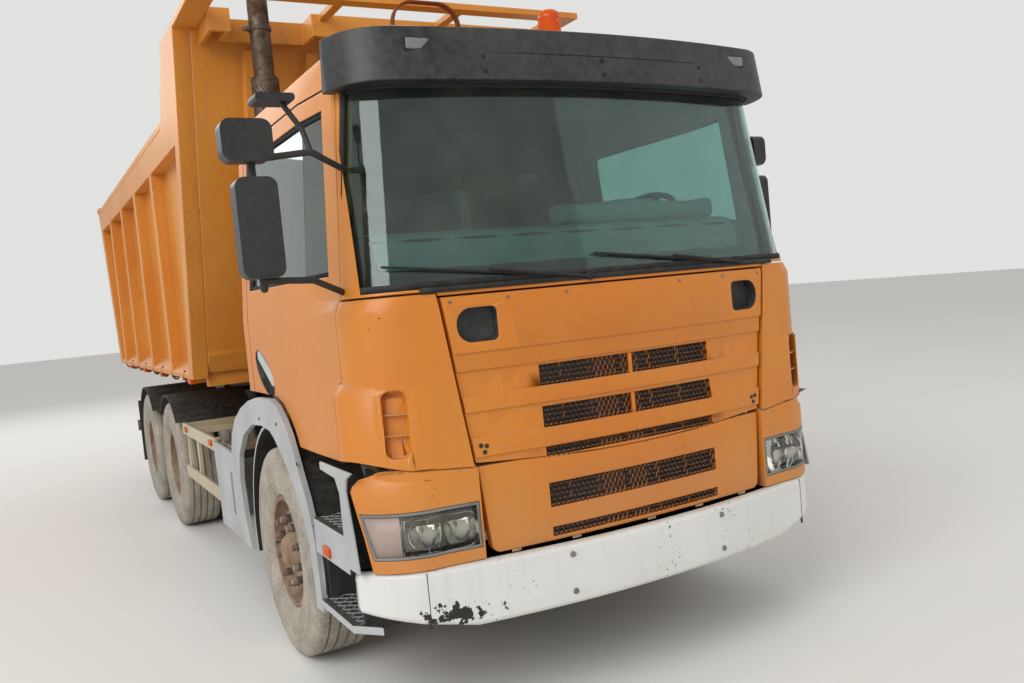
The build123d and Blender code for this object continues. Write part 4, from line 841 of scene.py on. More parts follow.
def softened(node: str, finish: Finish, width: float = 0.004, segments: int = 2,
             zones: Sequence[Zone] = (), held: bool = False) -> bpy.types.Object:
    """Replaces a CAD node by a merged copy of itself with rounded edges.

    Args:
        node: The CAD node.
        finish: The copy's finish.
        width: Width of the rounding in metres.
        segments: Faces across the rounding.
        zones: Other finishes with the test that says which faces get them.
        held: Whether the rounding shrinks where two would run into each other.

    Returns:
        The copy.
    """
    bm = merged(node)
    for face in bm.faces:
        middle = face.calc_center_median()
        middle.y += HALF_LENGTH
        for index, (_, within) in enumerate(zones, 1):
            if within(middle, face.normal):
                face.material_index = index
    body = body_of(frame["nodes"][node])[0]
    made = Shape(bm).piece(node + "_pressed", finish, body, ROUNDED_DEGREES, [node], "")
    for other, _ in zones:
        made.data.materials.append(other.material())
    rounding(made, width, segments, held)
    return made


def side_lamps(name: str, body: str, x: Sequence[float], spots: Sequence[float], half: float,
               z: Sequence[float], width: float = 0.005) -> None:
    """Sets amber marker lamps along both sides of the truck.

    Args:
        name: The piece's name.
        body: The CAD body that carries them.
        x: Distances of their back and face from the truck's middle.
        spots: How far back their middles lie.
        half: Half of a lamp's length.
        z: Their lowest and highest z.
        width: Width of their rounded edges.
    """
    shape = Shape()
    for side in (1, -1):
        for y in spots:
            shape.block(sorted((side * x[0], side * x[1])), (y - half, y + half), z)
    shape.bevel(width, 3).piece(name, Paint.AMBER_LENS, body)


def repaint(finish: Finish, *nodes: str) -> None:
    """Gives CAD nodes that are shown as they are a finish.

    Args:
        finish: Their finish.
        nodes: The nodes' names.
    """
    for node in nodes:
        mesh = frame["nodes"][node].data
        mesh.materials.clear()
        mesh.materials.append(finish.material())


class Side(Enum):
    """The truck's two sides, by the sign of x."""

    DRIVER = 1
    PASSENGER = -1

    @property
    def word(self) -> str:
        """The side's name in a body's or node's name."""
        return self.name.lower()


@dataclass(frozen=True)
class SoftLamp:
    """A square lamp of soft light, aimed at a point."""

    name: str
    place: Point
    target: Point
    size: float
    power: float
    mirrored: bool = True


@dataclass
class Studio:
    """Pale floor, soft lamps and the camera that stands where the photograph's stood."""

    eye: Point = (-2.3135, -3.0854 - HALF_LENGTH, 1.7586)
    right: Point = (0.86911, -0.48592, -0.09236)
    up: Point = (0.10815, 0.00449, 0.99413)
    lens: float = 31.505
    sensor: float = 36.0
    floor_size: float = 60.0
    floor_drop: float = 0.001
    sky: str = "f1f1ef"
    lighting: float = 0.66
    backdrop: float = 0.86
    soft_lamps: tuple[SoftLamp, ...] = (
        SoftLamp("key", (-11.0, -9.0, 9.0), (0.0, -1.0, 1.4), 9.0, 1150.0),
        SoftLamp("fill", (9.0, -12.0, 6.0), (0.0, -2.0, 1.2), 8.0, 300.0, False),
        SoftLamp("rear", (-3.0, 12.0, 9.0), (0.0, 0.0, 1.5), 7.0, 420.0))

    def build(self) -> None:
        """Makes the floor, the lamps, the world and the camera."""
        self.floor()
        self.lamps()
        self.world()
        self.camera()

    def floor(self) -> None:
        """Lays a broad floor at the ground's height."""
        bm = bmesh.new()
        bmesh.ops.create_grid(bm, x_segments=2, y_segments=2, size=self.floor_size)
        bmesh.ops.translate(bm, vec=(0.0, 0.0, -self.floor_drop), verts=bm.verts)
        mesh = bpy.data.meshes.new("studio_floor")
        bm.to_mesh(mesh)
        bm.free()
        mesh.materials.append(Paint.FLOOR.material())
        ground = bpy.data.objects.new("studio_floor", mesh)
        bpy.context.scene.collection.objects.link(ground)

    def lamps(self) -> None:
        """Hangs a large key lamp at the left front, a broad fill opposite and a lamp behind."""
        for plan in self.soft_lamps:
            light = bpy.data.lights.new(plan.name, "AREA")
            light.size = plan.size
            light.energy = plan.power
            lamp = bpy.data.objects.new(plan.name, light)
            lamp.location = plan.place
            lamp.visible_glossy = plan.mirrored
            aim = Vector(plan.target) - Vector(plan.place)
            lamp.rotation_euler = aim.to_track_quat("-Z", "Y").to_euler()
            bpy.context.scene.collection.objects.link(lamp)

    def world(self) -> None:
        """Makes an even pale surround that shows in glass and polished metal too."""
        world = bpy.data.worlds.new("studio_surround")
        bpy.context.scene.world = world
        world.use_nodes = True
        tree = world.node_tree
        tree.nodes.clear()
        seen = add_node(tree, "ShaderNodeLightPath")
        glossy = add_node(tree, "ShaderNodeMath", {"operation": "MAXIMUM"},
                          {0: seen.outputs["Is Camera Ray"], 1: seen.outputs["Is Glossy Ray"]})
        shown = add_node(tree, "ShaderNodeMath", {"operation": "MAXIMUM"},
                         {0: glossy, 1: seen.outputs["Is Transmission Ray"]})
        level = add_node(tree, "ShaderNodeMapRange", {"To Min": self.lighting, "To Max": self.backdrop},
                         {"Value": shown})
        ground = add_node(tree, "ShaderNodeBackground", {"Color": srgb(self.sky)}, {"Strength": level})
        add_node(tree, "ShaderNodeOutputWorld", None, {"Surface": ground})

    def camera(self) -> None:
        """Sets the camera at the photograph's viewpoint."""
        data = bpy.data.cameras.new("photographer")
        data.lens = self.lens
        data.sensor_width = self.sensor
        data.sensor_fit = "HORIZONTAL"
        data.clip_end = 300.0
        right, up = Vector(self.right), Vector(self.up)
        back = right.cross(up)
        turn = Matrix((right, up, back)).transposed().to_4x4()
        camera = bpy.data.objects.new("photographer", data)
        camera.matrix_world = Matrix.Translation(self.eye) @ turn
        bpy.context.scene.collection.objects.link(camera)
        bpy.context.scene.camera = camera


@dataclass
class HexMesh:
    """Pressed grille of six-sided holes in bowed rows across the cab's front."""

    pitch: float = 0.0235
    web: float = 0.0052
    depth: float = 0.007
    half: float = 0.452

    @property
    def radius(self) -> float:
        """Distance from a cell's middle to its corners."""
        return self.pitch / math.sqrt(3.0)

    def cell(self) -> bmesh.types.BMesh:
        """One hole with the web round it, standing in the XZ plane."""
        bm = bmesh.new()
        upright = Matrix.Rotation(math.radians(90), 4, "X")
        bmesh.ops.create_circle(bm, cap_ends=True, segments=6, radius=self.radius, matrix=upright)
        hole = bm.faces[:][0]
        bmesh.ops.inset_region(bm, faces=[hole], thickness=self.web / 2, use_even_offset=True)
        deep = bmesh.ops.extrude_discrete_faces(bm, faces=[hole])["faces"]
        bmesh.ops.translate(bm, vec=(0.0, self.depth, 0.0), verts=deep[0].verts)
        bmesh.ops.delete(bm, geom=deep, context="FACES_ONLY")
        return bm

    def row(self, shape: Shape, z: Sequence[float], inset: float) -> None:
        """Adds one row of mesh, its edges hidden behind the opening's own.

        Args:
            shape: The mesh being modelled.
            z: The opening's lowest and highest z.
            inset: How far behind the cab's surface the mesh lies.
        """
        bm = self.cell()
        rise = 1.5 * self.radius
        first = everything(bm)
        for column in range(1, math.ceil(2 * self.half / self.pitch) + 1):
            self.copy(bm, first, (column * self.pitch, 0.0, 0.0))
        line = everything(bm)
        for step in range(1, math.ceil((z[1] - z[0]) / rise) + 1):
            self.copy(bm, line, ((step % 2) * self.pitch / 2 - self.pitch / 4, 0.0, step * rise))
        for vert in bm.verts:
            across, up = vert.co.x - self.half, vert.co.z + z[0]
            vert.co = at(across, front_y(across, up, inset) + vert.co.y, up)
        shape.absorb(bm)

    def copy(self, bm: bmesh.types.BMesh, geom: list, move: Sequence[float]) -> None:
        """Adds a moved copy of some of a mesh's own geometry."""
        made = bmesh.ops.duplicate(bm, geom=geom)["geom"]
        bmesh.ops.translate(bm, vec=move, verts=[v for v in made if isinstance(v, bmesh.types.BMVert)])


@dataclass
class Grilles:
    """Flap and lower panel with their rows of mesh, and the flap's two air inlets, whose black floors and the
    black sheets behind the mesh are painted shade.
    """

    mesh: HexMesh
    flap_rows: tuple = ((1.357, 1.445), (1.184, 1.272), (1.064, 1.105))
    lower_rows: tuple = ((0.849, 0.950), (0.727, 0.765))
    inlet_x: Span = (0.625, 0.795)
    inlet_z: Span = (1.570, 1.706)
    face_inset: float = 0.0198
    floor_inset: float = 0.0312
    floor_x: Span = (-0.449, 0.449)
    divider_half: float = 0.009
    divider_y: Span = (NOSE_Y + 0.0175, NOSE_Y + 0.030)
    clip_x: tuple[float, ...] = (-0.62, -0.34, 0.05, 0.33, 0.61)
    clip_half: float = 0.022
    clip_z: Span = (0.690, 0.712)
    plug_spots: tuple = ((0.715, 1.150), (0.739, 1.154), (0.725, 1.126))
    plug_radius: float = 0.0095
    screw_x: tuple[float, ...] = (0.815, 0.57, 0.30)
    screw_z: float = 1.735
    screw_radius: float = 0.007

    def build(self) -> None:
        """Presses both panels and fits the mesh rows, with black sheets behind them as painted shade."""
        # The faces inside the flap's air inlets are painted black as shade, standing for the dark opening
        # behind them.
        softened("front_flap", Paint.AMBER, 0.0035, zones=[(Paint.BLACK, self.in_inlet)])
        softened("lower_front_panel", Paint.AMBER, 0.005, 3)
        plan = (("flap", self.flap_rows, "front_flap"), ("lower", self.lower_rows, "chassis"))
        for name, rows, body in plan:
            web = Shape()
            back = Shape()
            for z in rows:
                self.mesh.row(web, z, self.face_inset)
                back.nose_sheet(self.floor_x, z, self.floor_inset)
            web.piece(f"{name}_hex_mesh", Paint.AMBER, body, 30.0)
            # The black sheet behind each row is painted shade: it stands for the dark openings behind the
            # mesh.
            back.piece(f"{name}_mesh_backing", Paint.BLACK, body)
        self.divider()
        self.foot_tabs()
        self.seam_screws()
        self.plug_holes()

    def in_inlet(self, place: Vector, normal: Vector) -> bool:
        """Whether a face of the flap lies inside one of its air inlets, where black is painted as shade.

        Args:
            place: The face's middle, with y measured back from the bumper.
            normal: The face's normal.

        Returns:
            True inside an inlet.
        """
        x, z = self.inlet_x, self.inlet_z
        across = x[0] - 0.002 <= abs(place.x) <= x[1] + 0.002
        up = z[0] - 0.002 <= place.z <= z[1] + 0.002
        return across and up and place.y > front_y(place.x, place.z, 0.006)

    def divider(self) -> None:
        """Adds the narrow upright between the halves of the flap's upper rows."""
        shape = Shape()
        for z in self.flap_rows[:2]:
            shape.block((-self.divider_half, self.divider_half), self.divider_y, z)
        shape.bevel(0.002).piece("mesh_divider", Paint.AMBER, "front_flap")

    def foot_tabs(self) -> None:
        """Adds the pale clips that show in the gap between lower panel and bumper."""
        shape = Shape()
        for x in self.clip_x:
            y = front_y(x, self.clip_z[0], 0.024)
            shape.block((x - self.clip_half, x + self.clip_half), (y, y + 0.004), self.clip_z)
        shape.bevel(0.0012).piece("lower_panel_clips", Paint.PALE, "chassis")

    def plug_holes(self) -> None:
        """Adds the three dark plug holes in a cluster at each end of the lowest flap band."""
        shape = Shape()
        for side in (-1, 1):
            for x, z in self.plug_spots:
                centre = at(side * x, front_y(x, z, 0.0078), z)
                shape.rod(centre, centre + BACK * 0.004, self.plug_radius, 16)
        shape.piece("flap_plug_holes", Paint.BLACK, "front_flap")

    def seam_screws(self) -> None:
        """Adds the flap's small round-headed screws beside its top step."""
        shape = Shape()
        for side in (-1, 1):
            for x in self.screw_x:
                centre = at(side * x, front_y(x, self.screw_z, 0.001), self.screw_z)
                shape.rod(centre, centre - BACK * 0.004, self.screw_radius, 14)
        shape.bevel(0.0015).piece("flap_screws", Paint.ZINC, "front_flap")


@dataclass
class HeadLamps:
    """Corner lamps: clear lens, frosted turn lamp outboard, frame, bowls and bulbs."""

    split_x: float = 1.090
    frame_width: float = 0.011
    bowl_x: Span = (0.862, 0.998)
    bowl_z: float = 0.846
    bowl_radius: float = 0.066
    bowl_inset: float = 0.014
    bulb: tuple = ((0.022, 0.0), (0.023, 0.006), (0.030, 0.010), (0.052, 0.010), (0.056, 0.0))
    glass: float = 0.0035

    def build(self) -> None:
        """Builds both sides' lamps over the CAD lens solids."""
        softened("lamp_units", Paint.AMBER, 0.0035, 2)
        self.lens("headlamp_lenses", Paint.LENS, True)
        self.lens("turn_lamp_lenses", Paint.TURN_LENS, False)
        self.surround()
        self.housing()
        self.bowls()

    def lens(self, name: str, finish: Finish, inboard: bool) -> None:
        """Builds the clear or the frosted part of the lenses.

        Args:
            name: The piece's name.
            finish: Its finish.
            inboard: Whether it is the part nearer the truck's middle.
        """
        bm = cut_copy("headlamps", faces_out)
        for side in (1, -1):
            bmesh.ops.bisect_plane(bm, geom=everything(bm), dist=1e-5,
                                   plane_co=(side * self.split_x, 0.0, 0.0), plane_no=(1.0, 0.0, 0.0))
        gone = [f for f in bm.faces if (abs(f.calc_center_median().x) < self.split_x) != inboard]
        bmesh.ops.delete(bm, geom=gone, context="FACES")
        made = Shape(bm).piece(name, finish, "chassis", stands_for=["headlamps"], slot="lamp_lens")
        thicken(made, self.glass)

    def surround(self) -> None:
        """Lays a grey frame round each lens's edge."""
        bm = band(cut_copy("headlamps", faces_out), self.frame_width)
        made = Shape(bm).piece("headlamp_frames", Paint.LAMP_FRAME, "chassis")
        thicken(made, 0.004, 1.0)

    def housing(self) -> None:
        """Builds the grey box behind each lens."""
        bm = cut_copy("headlamps", lambda face: not faces_out(face))
        made = Shape(bm).piece("headlamp_housings", Paint.LAMP_BACK, "chassis")
        thicken(made, 0.002)

    def bowls(self) -> None:
        """Turns the reflector bowls and puts a bulb in each."""
        bowls = Shape()
        bulbs = Shape()
        r = self.bowl_radius
        profile = [(0.0, r + 0.004), (0.002, r), (0.020, 0.9 * r), (0.038, 0.66 * r), (0.050, 0.34 * r),
                   (0.054, 0.2 * r)]
        for side in (1, -1):
            for x in self.bowl_x:
                centre = at(side * x, front_y(x, self.bowl_z, self.bowl_inset), self.bowl_z)
                bowls.lathe(profile, centre, 40, BACK)
                bulbs.lathe(self.bulb, centre, 16, BACK)
        bowls.piece("headlamp_bowls", Paint.REFLECTOR, "chassis")
        bulbs.piece("headlamp_bulbs", Paint.LENS, "chassis")


@dataclass
class CabPanels:
    """Welded shell, corner panels and doors, trimmed in grey where they face the cabin."""

    cabin_middle: Point = (0.0, 1.15, 2.05)
    dish: Span = (1.600, 1.450)
    dish_half: Span = (0.095, 0.195)
    dish_lean: float = math.radians(28.0)
    dish_x: Span = (1.165, 1.1945)
    slot_x: Span = (1.020, 1.114)
    slot_z: Span = (1.148, 1.417)
    slot_bar: tuple = ((1.020, 0.014), (1.066, 0.024), (1.112, 0.050))
    slot_bar_z: Span = (1.240, 1.322)
    rear_x: Span = (-0.776, 0.776)
    rear_y: Span = (1.946, 1.951)
    rear_z: Span = (2.054, 2.516)
    rear_seal: float = 0.011
    door_seal: Span = (0.016, 0.010)

    def build(self) -> None:
        """Presses the shell, the corner panels and both doors."""
        softened("cab_shell", Paint.AMBER, 0.003, zones=[(Paint.LINING, self.faces_cabin)])
        # The driver's-side air slot floor is painted black as shade; the passenger's side stays amber.
        softened("corner_panels", Paint.AMBER, 0.003, 2, [(Paint.BLACK, self.in_slot)])
        for side in Side:
            softened(f"door_{side.word}", Paint.AMBER, 0.005, 3,
                     [(Paint.LINING, self.faces_cabin), (Paint.SEAL, self.in_dish)])
            softened(f"door_handle_{side.word}", Paint.HANDLE, 0.008, 3)
            repaint(Paint.SIDE_GLASS, f"door_glass_{side.word}")
            self.glass_seal(side)
        self.slot_bars()
        self.rear_window()

    def rear_window(self) -> None:
        """Glazes the opening in the cab's rear wall and seals it."""
        pane = Shape()
        pane.block(self.rear_x, self.rear_y, self.rear_z)
        pane.piece("rear_window_glass", Paint.PRIVACY_GLASS, "cab")
        seal = Shape()
        (left, right), (low, high), y = self.rear_x, self.rear_z, sum(self.rear_y) / 2
        corners = [at(x, y, z) for x, z in ((left, low), (right, low), (right, high), (left, high))]
        for start, end in zip(corners, corners[1:] + corners[:1]):
            seal.rod(start, end, self.rear_seal, 12)
        seal.piece("rear_window_seal", Paint.SEAL, "cab")

    def faces_cabin(self, place: Vector, normal: Vector) -> bool:
        """Whether a face looks at the middle of the cabin, so that a driver sees it."""
        return (Vector(self.cabin_middle) - place).dot(normal) > 0.05

    def in_dish(self, place: Vector, normal: Vector) -> bool:
        """Whether a face lies in the dish behind a door's handle.

        Args:
            place: The face's middle, with y measured back from the bumper.
            normal: The face's normal.

        Returns:
            True inside the dish.
        """
        cos, sin = math.cos(self.dish_lean), math.sin(self.dish_lean)
        across, up = place.y - self.dish[0], place.z - self.dish[1]
        beside, along = across * cos + up * sin, up * cos - across * sin
        inside = math.hypot(beside / self.dish_half[0], along / self.dish_half[1]) < 1.0
        return inside and self.dish_x[0] < abs(place.x) < self.dish_x[1]

    def in_slot(self, place: Vector, normal: Vector) -> bool:
        """Whether a face is the floor of the air slot on the driver's side, painted black as shade on that
        side only.
        """
        within = self.slot_x[0] < place.x < self.slot_x[1] and self.slot_z[0] < place.z < self.slot_z[1]
        return within and normal.y < -0.4 and place.y > front_y(place.x, place.z, 0.024)

    def glass_seal(self, side: Side) -> None:
        """Lays the black seal round a door's window.

        Args:
            side: Which door.
        """
        width, proud = self.door_seal
        bm = band(cut_copy(f"door_glass_{side.word}", faces_out), width)
        made = Shape(bm).piece(f"door_seal_{side.word}", Paint.SEAL, f"door_{side.word}")
        thicken(made, proud, 1.0)

    def slot_bars(self) -> None:
        """Adds the two thin bars across each corner panel's air slot."""
        shape = Shape()
        for side in (1, -1):
            for z in self.slot_bar_z:
                shape.pipe([at(side * x, front_y(x, z, inset), z) for x, inset in self.slot_bar], 0.0030, 3)
        shape.piece("slot_bars", Paint.AMBER, "cab")


@dataclass
class Windscreen:
    """Bonded laminated screen with its black gasket, the cowl strip and two parked wipers."""

    gasket_width: float = 0.024
    pane_inset: float = 0.014
    cowl_x: Span = (-0.93, 0.93)
    cowl_z: Span = (1.778, 1.800)
    wipers: tuple = (((-0.183, 1.790), (-0.640, 1.852), (-1.060, 1.893)),
                     ((0.693, 1.795), (0.270, 1.850), (-0.137, 1.885)))

    def build(self) -> None:
        """Glazes the cab's front and fits the wipers."""
        repaint(Paint.SCREEN, "windscreen")
        bm = band(cut_copy("windscreen", faces_out), self.gasket_width)
        gasket = Shape(bm).piece("windscreen_gasket", Paint.SEAL, "cab")
        thicken(gasket, 0.0135, 1.0)
        self.cowl_strip()
        for index, points in enumerate(self.wipers, 1):
            self.wiper(index, points)

    def on_glass(self, x: float, z: float, proud: float) -> Vector:
        """A point standing proud of the screen's outer face."""
        return at(x, front_y(x, z, self.pane_inset) - proud, z)

    def cowl_strip(self) -> None:
        """Adds the black moulding between the screen and the flap."""
        shape = Shape()
        shape.nose_sheet(self.cowl_x, self.cowl_z, -0.0012)
        made = shape.piece("cowl_strip", Paint.SEAL, "cab")
        thicken(made, 0.004)

    def wiper(self, index: int, points: Sequence[Sequence[float]]) -> None:
        """Builds one wiper from its pivot to its tip.

        Args:
            index: Its number from the passenger's side.
            points: Pivot, middle of the blade and tip, as (x, z).
        """
        pivot, middle, tip = points
        shape = Shape()
        hub = self.on_glass(*pivot, 0.0)
        shape.rod(hub, hub - BACK * 0.030, 0.017, 18)
        shape.pipe([hub - BACK * 0.026, self.on_glass(*middle, 0.034)], 0.0065, 3)
        near = [pivot[k] + 0.10 * (tip[k] - pivot[k]) for k in (0, 1)]
        run = [[near[k] + t * (tip[k] - near[k]) for k in (0, 1)] for t in (0.0, 0.25, 0.5, 0.75, 1.0)]
        shape.pipe([self.on_glass(*spot, 0.020) for spot in run], 0.0055, 3)
        shape.pipe([self.on_glass(*spot, 0.007) for spot in run], 0.0045, 2)
        for spot in (run[1], run[3]):
            shape.rod(self.on_glass(*spot, 0.008), self.on_glass(*spot, 0.024), 0.006, 10)
        shape.piece(f"wiper_{index}", Paint.SEAL, "cab")


@dataclass
class Seats:
    """Driver's and passenger's seats with crowned foam cushions in cloth covers."""

    half_x: float = 0.2475
    middle_x: float = 0.7125
    cushion_y: Span = (1.130, 1.680)
    cushion_z: Span = (1.600, 1.740)
    back_foot: Span = (1.665, 1.740)
    back_head: Span = (1.795, 2.440)
    cushion_thick: float = 0.115
    back_thick: float = 0.105
    crown: float = 0.030
    crown_power: float = 3.2
    channel: float = 0.012
    channel_lines: Span = (-0.46, 0.46)
    channel_width: float = 0.09
    drawn_in: float = 0.05
    cover_play: float = 0.97
    bellows_y: float = 1.415
    bellows_low: float = 1.412
    bellows_fold: float = 0.030
    bellows_folds: int = 5

    def build(self) -> None:
        """Builds both seats in place of their CAD solids."""
        for side in Side:
            x = side.value * self.middle_x
            length = self.cushion_y[1] - self.cushion_y[0]
            middle = at(x, sum(self.cushion_y) / 2, sum(self.cushion_z) / 2)
            base = self.pad(f"seat_cushion_{side.word}", (2 * self.half_x, length, self.cushion_thick),
                            Matrix.Translation(middle), ["seats"])
            foot, head = at(x, *self.back_foot), at(x, *self.back_head)
            tall = (head - foot).length
            lean = (head - foot).to_track_quat("Y", "Z").to_matrix().to_4x4()
            back = self.pad(f"seat_back_{side.word}", (2 * self.half_x, tall, self.back_thick),
                            Matrix.Translation((foot + head) / 2) @ lean, [])
            self.pedestal(side)

    def pad(self, name: str, size: Sequence[float], place: Matrix, stands_for: list) -> bpy.types.Object:
        """Makes a crowned pad with two sewn channels along it and drawn-in sides.

        Args:
            name: The piece's name.
            size: Width, length and thickness.
            place: Where its middle goes, lying on its local XY plane.
            stands_for: CAD nodes that it replaces.

        Returns:
            The pad.
        """
        shape = Shape()
        verts = bmesh.ops.create_cube(shape.bm, size=2.0)["verts"]
        bmesh.ops.subdivide_edges(shape.bm, edges=shape.bm.edges[:], cuts=9, use_grid_fill=True)
        for vert in shape.bm.verts:
            u, v, w = vert.co
            full = (1.0 - abs(u) ** self.crown_power) * (1.0 - abs(v) ** self.crown_power)
            seam = sum(math.exp(-((u - line) / self.channel_width) ** 2) for line in self.channel_lines)
            dip = self.channel * seam if w > 0.9 else 0.0
            drawn = (1.0 - self.drawn_in * (u * u * v * v)) * self.cover_play
            vert.co = Vector((u * drawn * size[0] / 2, v * drawn * size[1] / 2,
                              w * (size[2] / 2 - self.crown * 0.5) + w * self.crown * full - dip))
        bmesh.ops.transform(shape.bm, matrix=place, verts=shape.bm.verts[:])
        made = shape.piece(name, Paint.SEAT, "cab", SOFT_DEGREES, stands_for)
        subdivided(made, 1)
        return made

    def pedestal(self, side: Side) -> None:
        """Builds a seat's sprung pedestal with its rubber bellows.

        Args:
            side: Which seat.
        """
        shape = Shape()
        x = side.value * self.middle_x
        shape.block((x - 0.19, x + 0.19), (1.20, 1.63), (1.378, 1.412))
        for step in range(self.bellows_folds):
            low = self.bellows_low + step * self.bellows_fold
            out = 0.150 if step % 2 else 0.165
            shape.block((x - out, x + out), (self.bellows_y - out, self.bellows_y + out),
                        (low, low + self.bellows_fold))
        shape.block((x - 0.20, x + 0.20), (1.18, 1.64), (1.562, 1.596))
        shape.bevel(0.008, 3).piece(f"seat_pedestal_{side.word}", Paint.DARK_TRIM, "cab")


@dataclass
class Cockpit:
    """Dashboard with its vents, sun-bleached cover and blanket, instrument hood, wheel and seats."""

    cover_x: Span = (-0.98, 1.02)
    cover_line: tuple = ((0.424, 1.872), (0.440, 1.960), (0.462, 2.022), (0.520, 2.040), (0.600, 2.050),
                         (0.646, 2.000))
    blanket_x: Span = (0.48, 0.50)
    blanket_y: float = 0.535
    blanket_z: float = 2.100
    blanket_half: Span = (0.070, 0.052)
    hood_x: Span = (0.50, 0.94)
    hood_line: tuple = ((0.600, 1.980), (0.690, 1.965), (0.705, 2.060), (0.640, 2.095), (0.560, 2.070))
    vent_x: tuple[float, ...] = (-0.80, -0.35, 0.15, 0.38)
    vent_half: float = 0.075
    vent_y: Span = (0.640, 0.652)
    vent_z: Span = (1.86, 1.93)
    slat_half: float = 0.068
    slat_y: Span = (0.650, 0.658)
    slat_z: tuple[float, ...] = (1.870, 1.885, 1.900, 1.915)
    slat_thick: float = 0.005

    def build(self) -> None:
        """Trims the dashboard and dresses the steering wheel."""
        softened("dashboard", Paint.DARK_TRIM, 0.012, 3)
        softened("steering_wheel", Paint.DARK_TRIM, 0.002)
        self.cover()
        self.hood()
        self.vents()
        self.blanket()
        Seats().build()

    def cover(self) -> None:
        """Lays the pale fitted cover over the dashboard's top."""
        shape = Shape()
        low, high = self.cover_x
        columns, rows = 40, len(self.cover_line) - 1
        grid = bmesh.ops.create_grid(shape.bm, x_segments=columns, y_segments=rows, size=0.5)["verts"]
        for vert in grid:
            across = low + (vert.co.x + 0.5) * (high - low)
            y, z = self.cover_line[round((vert.co.y + 0.5) * rows)]
            wave = 0.003 * math.sin(across * 23.0) * math.sin(y * 40.0)
            vert.co = at(across, max(y, front_y(across, z, 0.075)), z + 0.004 + wave)
        made = shape.piece("dashboard_cover", Paint.COVER, "cab", SOFT_DEGREES)
        thicken(made, 0.004, 1.0)
        subdivided(made, 2)

    def blanket(self) -> None:
        """Lays the rolled pale blanket along the dashboard, behind the screen."""
        shape = Shape()
        verts = bmesh.ops.create_cube(shape.bm, size=2.0)["verts"]
        bmesh.ops.subdivide_edges(shape.bm, edges=shape.bm.edges[:], cuts=7, use_grid_fill=True)
        for vert in shape.bm.verts:
            u, v, w = vert.co
            sag = 0.006 * math.sin(5.0 * u + 2.0 * w) + 0.004 * math.sin(13.0 * u)
            plump = math.sqrt(1.0 - 0.4 * v * v), math.sqrt(1.0 - 0.4 * w * w)
            x = self.blanket_x[0] + self.blanket_x[1] * u
            y = self.blanket_y + self.blanket_half[0] * v * plump[1] + 0.085 * x ** 2
            vert.co = at(x, y, self.blanket_z + self.blanket_half[1] * w * plump[0] + sag * (1.0 + w))
        made = shape.piece("dashboard_blanket", Paint.COVER, "cab", SOFT_DEGREES)
        subdivided(made, 1)

    def hood(self) -> None:
        """Adds the hooded instrument binnacle behind the wheel."""
        shape = Shape()
        left, right = self.hood_x
        shape.prism([at(left, y, z) for y, z in self.hood_line], Vector((right - left, 0.0, 0.0)))
        shape.bevel(0.018, 4).piece("instrument_hood", Paint.DARK_TRIM, "cab")

    def vents(self) -> None:
        """Adds the slatted vents on the dashboard's face."""
        shape = Shape()
        for x in self.vent_x:
            shape.block((x - self.vent_half, x + self.vent_half), self.vent_y, self.vent_z)
            for z in self.slat_z:
                shape.block((x - self.slat_half, x + self.slat_half), self.slat_y, (z, z + self.slat_thick))
        shape.bevel(0.002).piece("dashboard_vents", Paint.TRIM, "cab")


